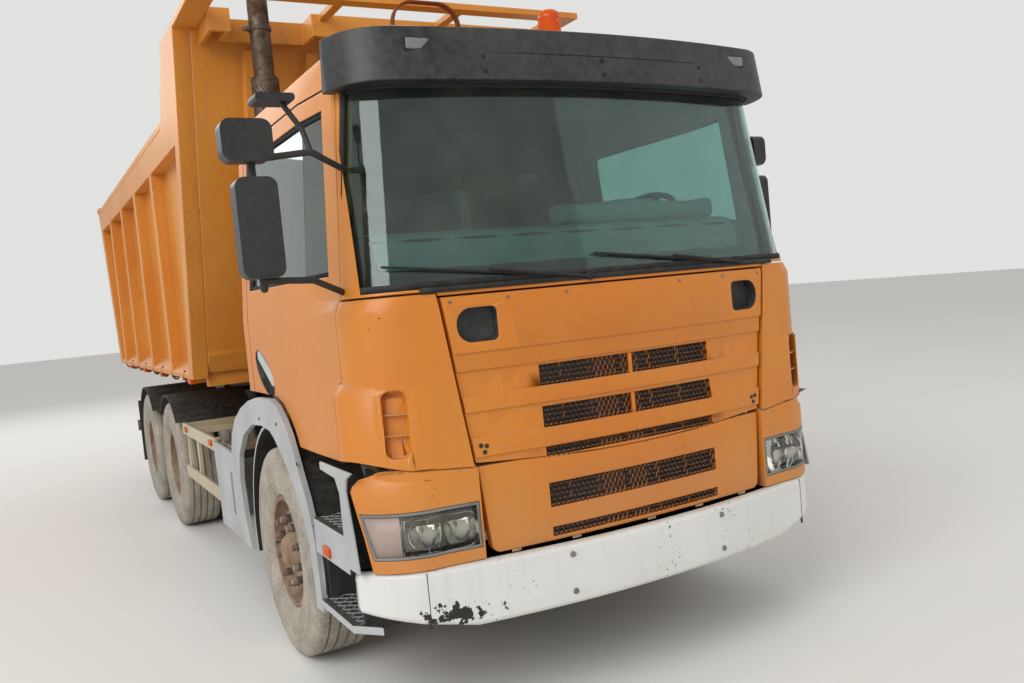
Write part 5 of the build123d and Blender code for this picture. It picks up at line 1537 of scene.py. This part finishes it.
@dataclass
class RoofGear:
    """Sun visor with its marker lamps, amber beacon, aerial dome and rusty guard hoop."""

    beacon: Point = (0.100, 0.620, 2.895)
    dome: Point = (-0.480, 0.640, 2.885)
    base_profile: tuple = ((0.0, 0.0), (0.0, 0.062), (0.060, 0.062), (0.068, 0.058), (0.076, 0.058),
                           (0.080, 0.0))
    dome_profile: tuple = ((0.0, 0.0), (0.0, 0.060), (0.048, 0.060), (0.066, 0.052), (0.078, 0.034),
                           (0.084, 0.0))
    lens_top: tuple = ((0.166, 0.053), (0.180, 0.046), (0.190, 0.030), (0.1945, 0.0))
    lens_rings: int = 7
    marker_x: float = 0.80
    marker_half: float = 0.075
    marker_z: Span = (2.728, 2.772)
    screw_x: tuple[float, ...] = (-0.92, -0.56, 0.0, 0.56, 0.92)
    screw_z: Span = (2.640, 2.700)
    crease_x: tuple[float, ...] = (-0.9, -0.6, -0.3, 0.0, 0.3, 0.6, 0.9)
    crease_z: float = 2.718
    visor_radius: float = 5.1
    hoop_x: Span = (-0.68, -0.30)
    hoop_y: Span = (0.73, 0.79)

    def build(self) -> None:
        """Builds everything that stands on or over the roof."""
        softened("sun_visor", Paint.VISOR, 0.007, 3)
        self.turned_pieces()
        self.hoop()
        self.markers()
        self.rivets()

    def turned_pieces(self) -> None:
        """Turns the beacon, its base and the aerial dome."""
        spot = at(*self.beacon)
        base = Shape()
        base.lathe(self.base_profile, spot, 40, UP)
        base.piece("beacon_base", Paint.SEAL, "cab")
        lens = Shape()
        profile = [(0.078, 0.0), (0.078, 0.0545)]
        for ring in range(self.lens_rings):
            profile += [(0.084 + 0.011 * ring, 0.0550), (0.0885 + 0.011 * ring, 0.0530)]
        lens.lathe([*profile, *self.lens_top], spot, 40, UP)
        lens.piece("beacon_lens", Paint.AMBER_LENS, "cab")
        dome = Shape()
        dome.lathe(self.dome_profile, at(*self.dome), 32, UP)
        dome.piece("aerial_dome", Paint.SEAL, "cab")

    def hoop(self) -> None:
        """Cuts the guard hoop out of the CAD roof fittings and rounds its strap."""
        bm = merged("roof_fittings")
        (left, right), (near, far) = self.hoop_x, self.hoop_y
        kept = [v for v in bm.verts if left < v.co.x < right and near < v.co.y + HALF_LENGTH < far]
        bmesh.ops.delete(bm, geom=list(set(bm.verts) - set(kept)), context="VERTS")
        made = Shape(bm).piece("guard_hoop", Paint.RUSTY, "cab", stands_for=["roof_fittings"])
        rounding(made, 0.003, 2)

    def markers(self) -> None:
        """Sets small clear marker lamps in the visor near its ends."""
        lenses = Shape()
        rims = Shape()
        y = self.visor_y(self.marker_x, 2.745)
        for side in (1, -1):
            for shape, grow, deep in ((rims, 0.006, 0.002), (lenses, 0.0, 0.006)):
                middle, half = side * self.marker_x, self.marker_half + grow
                shape.block((middle - half, middle + half), (y - deep, y + 0.030),
                            (self.marker_z[0] - grow, self.marker_z[1] + grow))
        rims.bevel(0.004).piece("visor_lamp_rims", Paint.SEAL, "cab")
        lenses.bevel(0.006, 3).piece("visor_lamps", Paint.LAMP_FRAME, "cab")

    def visor_y(self, x: float, z: float) -> float:
        """How far back the visor's face lies at x and z."""
        radius = self.visor_radius
        return 0.068 + 0.139 * (z - 2.606) + radius - math.sqrt(radius ** 2 - x * x)

    def rivets(self) -> None:
        """Fixes the visor with pairs of round screws and draws its long crease."""
        screws = Shape()
        for x in self.screw_x:
            for z in self.screw_z:
                centre = at(x, self.visor_y(x, z) + 0.001, z)
                screws.rod(centre, centre - BACK * 0.007, 0.0105, 16)
        screws.bevel(0.002).piece("visor_screws", Paint.SEAL, "cab")
        crease = Shape()
        z = self.crease_z
        crease.pipe([at(x, self.visor_y(x, z), z) for x in self.crease_x], 0.0035, 2)
        crease.piece("visor_crease", Paint.SEAL, "cab")


@dataclass
class Mirrors:
    """Open mirrors on the passenger's side and folded ones beside the driver's door."""

    open_heads: tuple = (((-1.598, -1.412), (2.312, 2.466)), ((-1.568, -1.412), (1.886, 2.256)))
    rim: float = 0.014
    glass_y: Span = (0.286, 0.2905)
    clamp_x: Span = (-1.505, -1.455)
    clamp_y: Span = (0.283, 0.312)
    clamp_z: tuple[float, ...] = (1.93, 2.07, 2.21, 2.36, 2.43)
    clamp_half: float = 0.016

    def build(self) -> None:
        """Rounds the heads and sets the silvered glass in the open ones."""
        for node in ("mirror_passenger", "mirror_driver"):
            softened(node, Paint.MIRROR_SHELL, 0.008, 4, held=True)
        glass = Shape()
        for (left, right), (low, high) in self.open_heads:
            glass.block((left + self.rim, right - self.rim), self.glass_y, (low + self.rim, high - self.rim))
        glass.bevel(0.0015).piece("mirror_glasses", Paint.MIRROR, "cab")
        self.clamps()

    def clamps(self) -> None:
        """Adds the clamps that hold the heads to their upright tube."""
        shape = Shape()
        for z in self.clamp_z:
            shape.block(self.clamp_x, self.clamp_y, (z - self.clamp_half, z + self.clamp_half))
        shape.bevel(0.004).piece("mirror_clamps", Paint.SEAL, "cab")


@dataclass
class Bumper:
    """White steel bumper with its bolts and the seams of its end pieces."""

    bow: Span = (1.040, 0.128)
    seam_x: float = 1.015
    seam_half: float = 0.0015
    seam_z: Span = (0.470, 0.690)
    bolt_x: float = 0.405
    bolt_z: Span = (0.500, 0.655)
    bolt_dome: tuple = ((0.001, 0.013), (-0.004, 0.012), (-0.008, 0.007), (-0.009, 0.0))

    def build(self) -> None:
        """Presses the bumper and bolts it up."""
        softened("bumper", Paint.BUMPER, 0.024, 5)
        self.seams()
        self.bolts()

    def surface_y(self, x: float) -> float:
        """How far back the bumper's bowed face lies at x."""
        half, rise = self.bow
        radius = (half ** 2 + rise ** 2) / (2 * rise)
        return radius - math.sqrt(radius ** 2 - x * x)

    def seams(self) -> None:
        """Draws the narrow dark joints before the bumper's ends."""
        shape = Shape()
        y = self.surface_y(self.seam_x)
        for x in (self.seam_x, -self.seam_x):
            shape.block((x - self.seam_half, x + self.seam_half), (y - 0.0006, y + 0.01), self.seam_z)
        shape.piece("bumper_joints", Paint.SEAL, "chassis")

    def bolts(self) -> None:
        """Adds four domed bolts over the brackets."""
        shape = Shape()
        for x in (self.bolt_x, -self.bolt_x):
            for z in self.bolt_z:
                shape.lathe(self.bolt_dome, at(x, self.surface_y(x), z), 16, BACK)
        shape.piece("bumper_bolts", Paint.ZINC, "chassis")


@dataclass
class EntrySteps:
    """Grey step units: recesses painted black as shade, chequered treads and an amber side marker."""

    tread_x: Span = (0.995, 1.215)
    tread_y: Span = (0.385, 0.800)
    tread_z: Span = (0.466, 0.838)
    bar_turn: float = 38.0
    bar_pitch: float = 0.060
    bars_each_way: int = 7
    bar: Point = (0.50, 0.005, 0.003)
    outer: float = 1.244
    flange: float = 0.028
    flange_y: float = 0.36

    def build(self) -> None:
        """Dresses both step units."""
        # The recess behind each step's outer flange is painted black as shade.
        softened("entry_steps", Paint.GREY, 0.004, 3, [(Paint.BLACK, self.in_recess)])
        self.chequers()
        side_lamps("step_markers", "chassis", (self.outer - 0.002, self.outer + 0.012), (0.645,), 0.045,
                   (0.700, 0.742))

    def in_recess(self, place: Vector, normal: Vector) -> bool:
        """Whether a face lies inside the recess behind the outer flange, which is painted black as shade.

        Args:
            place: The face's middle, with y measured back from the bumper.
            normal: The face's normal.

        Returns:
            True for the parts painted black as shade.
        """
        inboard = abs(place.x) < self.outer - self.flange
        tread_edge = place.z < self.tread_z[0] + 0.004 and abs(normal.z) < 0.5
        return inboard and not tread_edge and not (normal.y < -0.9 and place.y < self.flange_y)

    def chequers(self) -> None:
        """Lays the lattice of thin crossed bars on the treads."""
        shape = Shape()
        for side in (1, -1):
            for top in self.tread_z:
                for turn in (self.bar_turn, -self.bar_turn):
                    self.bars(shape, side, top, turn)
        shape.piece("tread_lattice", Paint.GREY, "chassis")

    def bars(self, shape: Shape, side: int, top: float, turn: float) -> None:
        """Adds one family of parallel bars, cut off at the tread's edges.

        Args:
            shape: The mesh being modelled.
            side: 1 or -1.
            top: The tread's height.
            turn: The bars' angle from the x axis in degrees.
        """
        middle_x, middle_y = sum(self.tread_x) / 2, sum(self.tread_y) / 2
        bm = bmesh.new()
        for index in range(-self.bars_each_way, self.bars_each_way + 1):
            spot = at(side * middle_x, middle_y + index * self.bar_pitch, top + 0.0008)
            place = Matrix.Translation(spot) @ Matrix.Rotation(math.radians(turn), 4, "Z")
            bmesh.ops.create_cube(bm, size=1.0, matrix=place @ Matrix.Diagonal((*self.bar, 1.0)))
        left, right = sorted((side * self.tread_x[0], side * self.tread_x[1]))
        near, far = self.tread_y
        for x, y, out in ((left, near, (-1.0, 0.0, 0.0)), (right, near, (1.0, 0.0, 0.0)),
                          (left, near, (0.0, -1.0, 0.0)), (left, far, (0.0, 1.0, 0.0))):
            bmesh.ops.bisect_plane(bm, geom=everything(bm), dist=1e-6, plane_co=at(x, y, top), plane_no=out,
                                   clear_outer=True)
        shape.absorb(bm)


@dataclass
class Mudguards:
    """Grey front arches, black inside, and the dark guards over the rear wheels."""

    edge_x: float = 1.205
    lip_x: float = 1.2395
    lip_radii: Span = (0.720, 0.700)
    lip_top: float = 1.27
    screw_angles: tuple[float, ...] = (20.0, 48.0, 76.0, 104.0, 132.0, 158.0)

    def build(self) -> None:
        """Dresses all the mudguards."""
        softened("front_mudguards", Paint.GREY, 0.005, 3, [(Paint.BLACK, self.is_lining)], True)
        softened("rear_mudguards", Paint.BLACK, 0.003)
        self.screws()

    def is_lining(self, place: Vector, normal: Vector) -> bool:
        """Whether a face lies inboard of an arch's lip, where it is moulded in black."""
        return abs(place.x) < self.edge_x

    def screws(self) -> None:
        """Adds the dark screws along the front arches' lips."""
        shape = Shape()
        along, up = self.lip_radii
        for side in (1, -1):
            for angle in map(math.radians, self.screw_angles):
                y, z = FRONT_AXLE_Y + along * math.cos(angle), AXLE_Z + up * math.sin(angle)
                spot = at(side * self.lip_x, y, z)
                if z < self.lip_top:
                    shape.rod(spot, spot + Vector((side * 0.004, 0.0, 0.0)), 0.008, 14)
        shape.bevel(0.0015).piece("mudguard_screws", Paint.SEAL, "chassis")


@dataclass
class Tyre:
    """Radial truck tyre: beads, ribbed wall, four grooves and sipes across its ribs."""

    radius: float = 0.534
    width: float = 0.312
    steps: int = 144
    grooves: tuple[float, ...] = (0.078, 0.130, 0.182, 0.234)
    rib: float = 0.052
    groove_half: float = 0.0065
    groove_depth: float = 0.014
    sipe_every: int = 4
    sipe_depth: float = 0.009

    def wall(self) -> list[Span]:
        """Outline of one wall from bead to shoulder, as (distance in from the face, radius)."""
        return [(0.034, 0.2882), (0.024, 0.298), (0.012, 0.318), (0.005, 0.340), (0.003, 0.352),
                (0.0012, 0.353), (0.0010, 0.358), (0.0022, 0.360), (0.0012, 0.400), (0.0022, 0.440),
                (0.0012, 0.441), (0.0014, 0.447), (0.0034, 0.449), (0.006, 0.476), (0.012, 0.500),
                (0.019, 0.516), (0.028, 0.527), (0.040, 0.5322), (0.052, self.radius)]

    def outline(self) -> list[Span]:
        """The whole section of the tyre, from bead to bead over the tread."""
        wall = self.wall()
        tread = []
        for place in self.grooves:
            for shift, drop in ((-1.0, 0.0), (-0.6, 1.0), (0.6, 1.0), (1.0, 0.0)):
                tread.append((place + shift * self.groove_half, self.radius - drop * self.groove_depth))
        return wall + tread + [(self.width - d, r) for d, r in reversed(wall)]

    def turn(self, shape: Shape, side: Side, face_x: float, y: float) -> None:
        """Adds the tyre to a mesh.

        Args:
            shape: The mesh being modelled.
            side: The truck's side.
            face_x: Distance of the tyre's outer face from the truck's middle.
            y: How far back its axle lies.
        """
        centre = at(side.value * face_x, y, AXLE_Z)
        outline = [(-side.value * d, r) for d, r in self.outline()]
        faces = shape.lathe(outline, centre, self.steps)
        sipes = [face for face in faces if self.is_sipe(face, centre)]
        grown = bmesh.ops.extrude_face_region(shape.bm, geom=sipes)["geom"]
        for vert in (item for item in grown if isinstance(item, bmesh.types.BMVert)):
            arm = vert.co - centre
            arm.x = 0.0
            vert.co -= arm.normalized() * self.sipe_depth

    def is_sipe(self, face: bmesh.types.BMFace, centre: Vector) -> bool:
        """Whether a tread face is cut away as a sipe across its rib.

        Args:
            face: One face of the turned tyre.
            centre: The tyre's middle.

        Returns:
            True for a rib's face at a regular step round the tyre.
        """
        if min(math.hypot(v.co.y - centre.y, v.co.z - centre.z) for v in face.verts) < self.radius - 0.003:
            return False
        arm = face.calc_center_median() - centre
        step = int((math.atan2(arm.z, arm.y) + math.tau) / math.tau * self.steps + 1e-3)
        lane = int(abs(arm.x) / self.rib)
        return (step + 2 * (lane % 2)) % self.sipe_every == 0


@dataclass
class Wheels:
    """All ten tyres on their maroon rims, with hexagon nuts and valves."""

    tyre: Tyre
    outer_x: float = 1.236
    twin_pitch: float = 0.338
    nut_circle: float = 0.167
    nut_count: int = 10
    nut: tuple = ((0.0, 0.004, 0.0255, 20), (0.004, 0.034, 0.0215, 6), (0.034, 0.050, 0.0110, 12))
    disc_depth: Span = (0.062, 0.128)
    valve_depth: Span = (0.055, 0.14)
    valve_line: tuple = ((-0.03, 0.235), (0.0, 0.222), (0.035, 0.215))

    def build(self) -> None:
        """Builds the front and the twin rear wheels on both sides."""
        for side in Side:
            self.wheel(side, FRONT_AXLE_Y, f"front_wheel_{side.word}", False)
            for row, y in enumerate(REAR_AXLES_Y, 1):
                self.wheel(side, y, f"rear_wheels_{row}_{side.word}", True)

    def wheel(self, side: Side, y: float, body: str, twin: bool) -> None:
        """Builds one wheel or pair of wheels.

        Args:
            side: The truck's side.
            y: How far back the axle lies.
            body: The CAD body of the wheel, after which its tyre and rim nodes are named.
            twin: Whether it is a pair.
        """
        shape = Shape()
        for index in range(1 + twin):
            self.tyre.turn(shape, side, self.outer_x - index * self.twin_pitch, y)
        node = body.replace("wheel", "tyre")
        shape.piece(f"{node}_rubber", Paint.TYRE, body, 28.0, [node])
        softened(body.replace("wheel", "rim"), Paint.WHEEL, 0.003, 2)
        self.nuts(side, y, body, self.disc_depth[twin])
        self.valve(side, y, body, self.valve_depth[twin])

    def nuts(self, side: Side, y: float, body: str, depth: float) -> None:
        """Adds a ring of hexagon nuts with their washers and stud ends.

        Args:
            side: The truck's side.
            y: How far back the axle lies.
            body: The CAD body of the wheel.
            depth: How far the wheel's disc lies inside the tyre's outer face.
        """
        shape = Shape()
        out = Vector((side.value, 0.0, 0.0))
        for index in range(self.nut_count):
            angle = math.tau * index / self.nut_count
            seat = at(side.value * (self.outer_x - depth), y + self.nut_circle * math.sin(-angle),
                      AXLE_Z + self.nut_circle * math.cos(angle))
            for low, high, radius, sides in self.nut:
                shape.rod(seat + out * low, seat + out * high, radius, sides)
        shape.bevel(0.0016).piece(f"wheel_nuts_{body}", Paint.ZINC, body, slot="rim_paint")

    def valve(self, side: Side, y: float, body: str, depth: float) -> None:
        """Adds the bent tyre valve on the rim.

        Args:
            side: The truck's side.
            y: How far back the axle lies.
            body: The CAD body of the wheel.
            depth: How far inside the tyre's outer face the valve starts.
        """
        shape = Shape()
        x = side.value * (self.outer_x - depth)
        shape.pipe([at(x + side.value * out, y + back, AXLE_Z) for out, back in self.valve_line], 0.0055, 3)
        shape.piece(f"valve_{body}", Paint.ZINC, body, slot="rim_paint")


@dataclass
class Chassis:
    """Frame, axles, springs and the blocks that drive the truck."""

    rail_x: float = 0.430
    bolt_z: Span = (0.80, 0.965)
    bolt_y: float = 2.35
    bolt_pitch: float = 0.20
    bolt_count: int = 28
    clamp_x: Span = (0.335, 0.435)
    clamp_shift: float = 0.075
    clamp_z: Span = (0.395, 0.580)
    clip_x: Span = (0.339, 0.431)
    clip_shift: float = 0.42
    clip_z: Span = (0.600, 0.675)

    def build(self) -> None:
        """Dresses the running gear."""
        for node in ("frame", "front_axle", "rear_axles", "knuckle_driver", "knuckle_passenger"):
            softened(node, Paint.CHASSIS, 0.003)
        softened("engine", Paint.IRON, 0.02, 3)
        softened("driveline", Paint.IRON, 0.004)
        self.rail_bolts()
        self.spring_clamps()

    def rail_bolts(self) -> None:
        """Adds rows of bolts along the webs of the main rails."""
        shape = Shape()
        for side in (1, -1):
            for index in range(self.bolt_count):
                for z in self.bolt_z:
                    spot = at(side * self.rail_x, self.bolt_y + self.bolt_pitch * index, z)
                    shape.rod(spot, spot + Vector((side * 0.010, 0.0, 0.0)), 0.013, 6)
        shape.bevel(0.001).piece("rail_bolts", Paint.ZINC, "chassis", slot="chassis_paint")

    def spring_clamps(self) -> None:
        """Adds the clamps of the front leaf springs over the axle and the clips along them."""
        shape = Shape()
        plan = ((self.clamp_x, self.clamp_shift, 0.011, self.clamp_z),
                (self.clip_x, self.clip_shift, 0.02, self.clip_z))
        for side in (1, -1):
            for x, shift, half, z in plan:
                for y in (FRONT_AXLE_Y - shift, FRONT_AXLE_Y + shift):
                    shape.block(sorted((side * x[0], side * x[1])), (y - half, y + half), z)
        shape.bevel(0.003).piece("spring_clamps", Paint.CHASSIS, "chassis")


@dataclass
class SideEquipment:
    """Fuel tank, battery box and air tank, with their straps, and the cream guard rails."""

    strap_x: Span = (0.555, 1.146)
    strap_y: tuple[float, ...] = (2.95, 3.325, 3.70)
    strap_z: Span = (0.424, 1.006)
    strap_half: float = 0.025
    ring_centre: Span = (-0.900, 0.640)
    ring_y: Span = (3.62, 4.12)
    ring_profile: tuple = ((-0.02, 0.1405), (-0.018, 0.1445), (0.018, 0.1445), (0.02, 0.1405))
    cap: Point = (1.02, 2.86, 0.998)
    cap_profile: tuple = ((0.0, 0.048), (0.020, 0.048), (0.026, 0.044), (0.028, 0.0))
    catch_y: Span = (2.84, 3.24)

    def build(self) -> None:
        """Dresses what hangs between the axles."""
        softened("side_tanks", Paint.ALLOY, 0.014, 3)
        softened("side_guards", Paint.PALE, 0.006, 3)
        self.straps()
        self.filler()
        side_lamps("guard_markers", "chassis", (1.214, 1.228), (3.30, 4.30), 0.045, (0.890, 0.930))

    def straps(self) -> None:
        """Wraps the fuel tank and the air tank in steel straps."""
        shape = Shape()
        for y in self.strap_y:
            shape.block(self.strap_x, (y - self.strap_half, y + self.strap_half), self.strap_z)
        shape.bevel(0.020, 3).piece("tank_straps", Paint.STEEL, "chassis")
        rings = Shape()
        x, z = self.ring_centre
        for y in self.ring_y:
            rings.lathe(self.ring_profile, at(x, y, z), 40, BACK)
        rings.piece("air_tank_straps", Paint.STEEL, "chassis")

    def filler(self) -> None:
        """Adds the fuel tank's cap and the battery box's catches."""
        shape = Shape()
        shape.lathe(self.cap_profile, at(*self.cap), 32, UP)
        for y in self.catch_y:
            shape.block((-1.150, -1.139), (y - 0.012, y + 0.012), (0.74, 0.84))
        shape.piece("filler_cap", Paint.SEAL, "chassis")


@dataclass
class Exhaust:
    """Upright exhaust with its clamp and a perforated shield round the hot pipe."""

    x: float = -0.800
    y: float = 2.480
    shield_z: Span = (1.52, 3.19)
    shield_radius: float = 0.0845
    columns: int = 36
    rows: int = 98
    web: float = 0.0030
    plain_end: float = 0.05
    lug_x: Span = (-0.100, -0.066)
    lug_y: tuple = ((-0.030, -0.010), (0.002, 0.018))
    lug_z: Span = (3.482, 3.508)
    bolt: Point = (-0.086, -0.045, 3.495)

    def build(self) -> None:
        """Builds the stack."""
        softened("exhaust_stack", Paint.STEEL, 0.003)
        self.shield()
        self.clamp()

    def shield(self) -> None:
        """Punches the shield: staggered holes about 9 mm wide in a rolled sheet."""
        shape = Shape()
        low, high = self.shield_z
        middle = at(self.x, self.y, (low + high) / 2)
        bmesh.ops.create_cone(shape.bm, cap_ends=False, segments=self.columns, radius1=self.shield_radius,
                              radius2=self.shield_radius, depth=high - low, matrix=Matrix.Translation(middle))
        upright = [edge for edge in shape.bm.edges if abs(edge.verts[0].co.z - edge.verts[1].co.z) > 1.0]
        bmesh.ops.subdivide_edges(shape.bm, edges=upright, cuts=self.rows - 1)
        cells = shape.bm.faces[:]
        bmesh.ops.inset_individual(shape.bm, faces=cells, thickness=self.web)
        holes = []
        for face in cells:
            spot = face.calc_center_median() - middle
            column = round(math.atan2(spot.y, spot.x) / math.tau * self.columns - 0.5)
            line = round(spot.z / (high - low) * self.rows - 0.5)
            if (column + line) % 2 == 0 and abs(spot.z) < (high - low) / 2 - self.plain_end:
                holes.append(face)
        bmesh.ops.delete(shape.bm, geom=holes, context="FACES")
        made = shape.piece("exhaust_shield", Paint.STEEL, "chassis", slot="exhaust_metal")
        thicken(made, 0.0012)

    def clamp(self) -> None:
        """Adds the band clamp's bolt and lugs near the pipe's top."""
        shape = Shape()
        for near, far in self.lug_y:
            shape.block([self.x + side for side in self.lug_x], (self.y + near, self.y + far), self.lug_z)
        spot = at(self.x + self.bolt[0], self.y + self.bolt[1], self.bolt[2])
        shape.rod(spot, spot + BACK * 0.080, 0.006, 12)
        shape.bevel(0.002).piece("exhaust_clamp", Paint.ZINC, "chassis", slot="exhaust_metal")


@dataclass
class TippingBody:
    """Ribbed body of bent plate: welds, rope hooks, marker lamps and a bead along its top."""

    outer: float = 1.265
    sheet: float = 1.165
    rib_y: tuple[float, ...] = (4.300, 5.380, 6.460, 7.540)
    rib_width: float = 0.110
    weld_z: tuple[float, ...] = (1.455, 2.2, 2.905)
    weld_radius: float = 0.0055
    hook_y: tuple[float, ...] = (3.75, 4.85, 5.93, 7.0)
    hook_line: tuple = ((0.0, 1.40), (0.006, 1.338), (-0.020, 1.312), (-0.040, 1.335))
    hook_radius: float = 0.007
    marker_y: tuple[float, ...] = (3.62, 5.05, 6.15, 7.30)
    bead_y: Span = (3.62, 8.74)
    bead_z: Span = (3.108, 3.116)

    def build(self) -> None:
        """Dresses the body and what is fixed to it."""
        for node in ("body_sides", "headboard", "body_floor"):
            softened(node, Paint.BODY, 0.005, 3)
        softened("tailgate", Paint.BODY, 0.003, 2)
        self.welds()
        self.hooks()
        side_lamps("body_markers", "tipping_body", (self.outer - 0.050, self.outer - 0.004), self.marker_y,
                   0.050, (1.306, 1.346), 0.007)
        self.top_bead()

    def welds(self) -> None:
        """Runs a bead down both edges of each rib and along the rails."""
        shape = Shape()
        top = self.weld_z[-1]
        for side in (1, -1):
            x = side * self.sheet
            for y in self.rib_y:
                for edge in (y, y + self.rib_width):
                    proud = zip((0.001, 0.0015, 0.001), self.weld_z)
                    shape.pipe([at(x + side * out, edge, z) for out, z in proud], self.weld_radius, 2)
            for near, far in zip(self.rib_y, self.rib_y[1:]):
                spots = (near + self.rib_width, (near + far) / 2, far)
                shape.pipe([at(x, y, top) for y in spots], self.weld_radius, 2)
        shape.piece("weld_beads", Paint.BODY, "tipping_body")

    def hooks(self) -> None:
        """Bends the rusty rope hooks under the bottom rail and on the ribs."""
        shape = Shape()
        for side in (1, -1):
            for y in (*self.rib_y, *self.hook_y):
                x = side * (self.outer - 0.012)
                line = [at(x + side * out, y + self.rib_width / 2, z) for out, z in self.hook_line]
                shape.pipe(line, self.hook_radius, 3)
        shape.piece("rope_hooks", Paint.RUSTY, "tipping_body")

    def top_bead(self) -> None:
        """Adds the narrow bead that runs along each top rail."""
        shape = Shape()
        for side in (1, -1):
            x = sorted((side * (self.outer - 0.004), side * (self.outer + 0.003)))
            shape.block(x, self.bead_y, self.bead_z)
        shape.bevel(0.002).piece("top_rail_beads", Paint.BODY, "tipping_body")


@dataclass
class RearEnd:
    """Rear beam with its lamp clusters, a blank plate and the tailgate's hooks."""

    lamp_y: Span = (8.068, 8.080)
    lamp_z: Span = (0.580, 0.660)
    red_x: Span = (0.86, 1.04)
    amber_x: Span = (1.045, 1.108)
    clear_x: Span = (0.712, 0.855)
    plate_x: Span = (-0.26, 0.26)
    plate_y: Span = (8.008, 8.016)
    plate_z: Span = (0.562, 0.678)
    hook_x: Span = (-1.05, 1.05)
    hook_foot: Span = (8.175, 1.33)
    hook_line: tuple = ((0.0, 0.0), (0.045, 0.02), (0.055, 0.09), (0.030, 0.12))
    hook_radius: float = 0.016

    def build(self) -> None:
        """Dresses the rear of the truck."""
        softened("rear_lamp_bar", Paint.CHASSIS, 0.004)
        self.lamps()
        self.plate()
        self.gate_hooks()

    def lamps(self) -> None:
        """Splits each cluster into amber, red and clear lenses."""
        plan = (("rear_red_lenses", Paint.RED_LENS, self.red_x),
                ("rear_amber_lenses", Paint.AMBER_LENS, self.amber_x),
                ("rear_clear_lenses", Paint.LENS, self.clear_x))
        for name, finish, (near, far) in plan:
            shape = Shape()
            for side in (1, -1):
                shape.block(sorted((side * near, side * far)), self.lamp_y, self.lamp_z)
            shape.bevel(0.004, 3).piece(name, finish, "chassis", slot="lamp_lens")

    def plate(self) -> None:
        """Adds the blank pale plate."""
        shape = Shape()
        shape.block(self.plate_x, self.plate_y, self.plate_z)
        shape.bevel(0.003).piece("blank_plate", Paint.PALE, "chassis")

    def gate_hooks(self) -> None:
        """Adds the tailgate's lower catch hooks."""
        shape = Shape()
        y, z = self.hook_foot
        for x in self.hook_x:
            shape.pipe([at(x, y + back, z + up) for back, up in self.hook_line], self.hook_radius, 3)
        shape.piece("tailgate_hooks", Paint.RUSTY, "tipping_body")


@dataclass
class Hoist:
    """Telescopic ram between cab and body."""

    stages: int = 3

    def build(self) -> None:
        """Paints the barrel and polishes the stages."""
        softened("hoist_barrel", Paint.HOIST, 0.004)
        for index in range(1, self.stages + 1):
            softened(f"hoist_stage_{index}", Paint.CHROME, 0.002)


def main() -> None:
    """Builds the truck's sub-assemblies in order."""
    logging.basicConfig(level=logging.INFO, format="%(message)s")
    bpy.context.scene.view_settings.view_transform = "Standard"
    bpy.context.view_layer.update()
    plan = (Studio(), Chassis(), Bumper(), Grilles(HexMesh()), HeadLamps(), CabPanels(), Windscreen(),
            Cockpit(), RoofGear(), Mirrors(), EntrySteps(), Mudguards(), Wheels(Tyre()), SideEquipment(),
            Exhaust(), TippingBody(), RearEnd(), Hoist())
    for part in plan:
        known = set(bpy.data.objects.keys())
        part.build()
        fresh = [name for name in bpy.data.objects.keys() if name not in known]
        log.info("%s: %s", type(part).__name__, ", ".join(fresh))


if __name__ == "__main__":
    main()
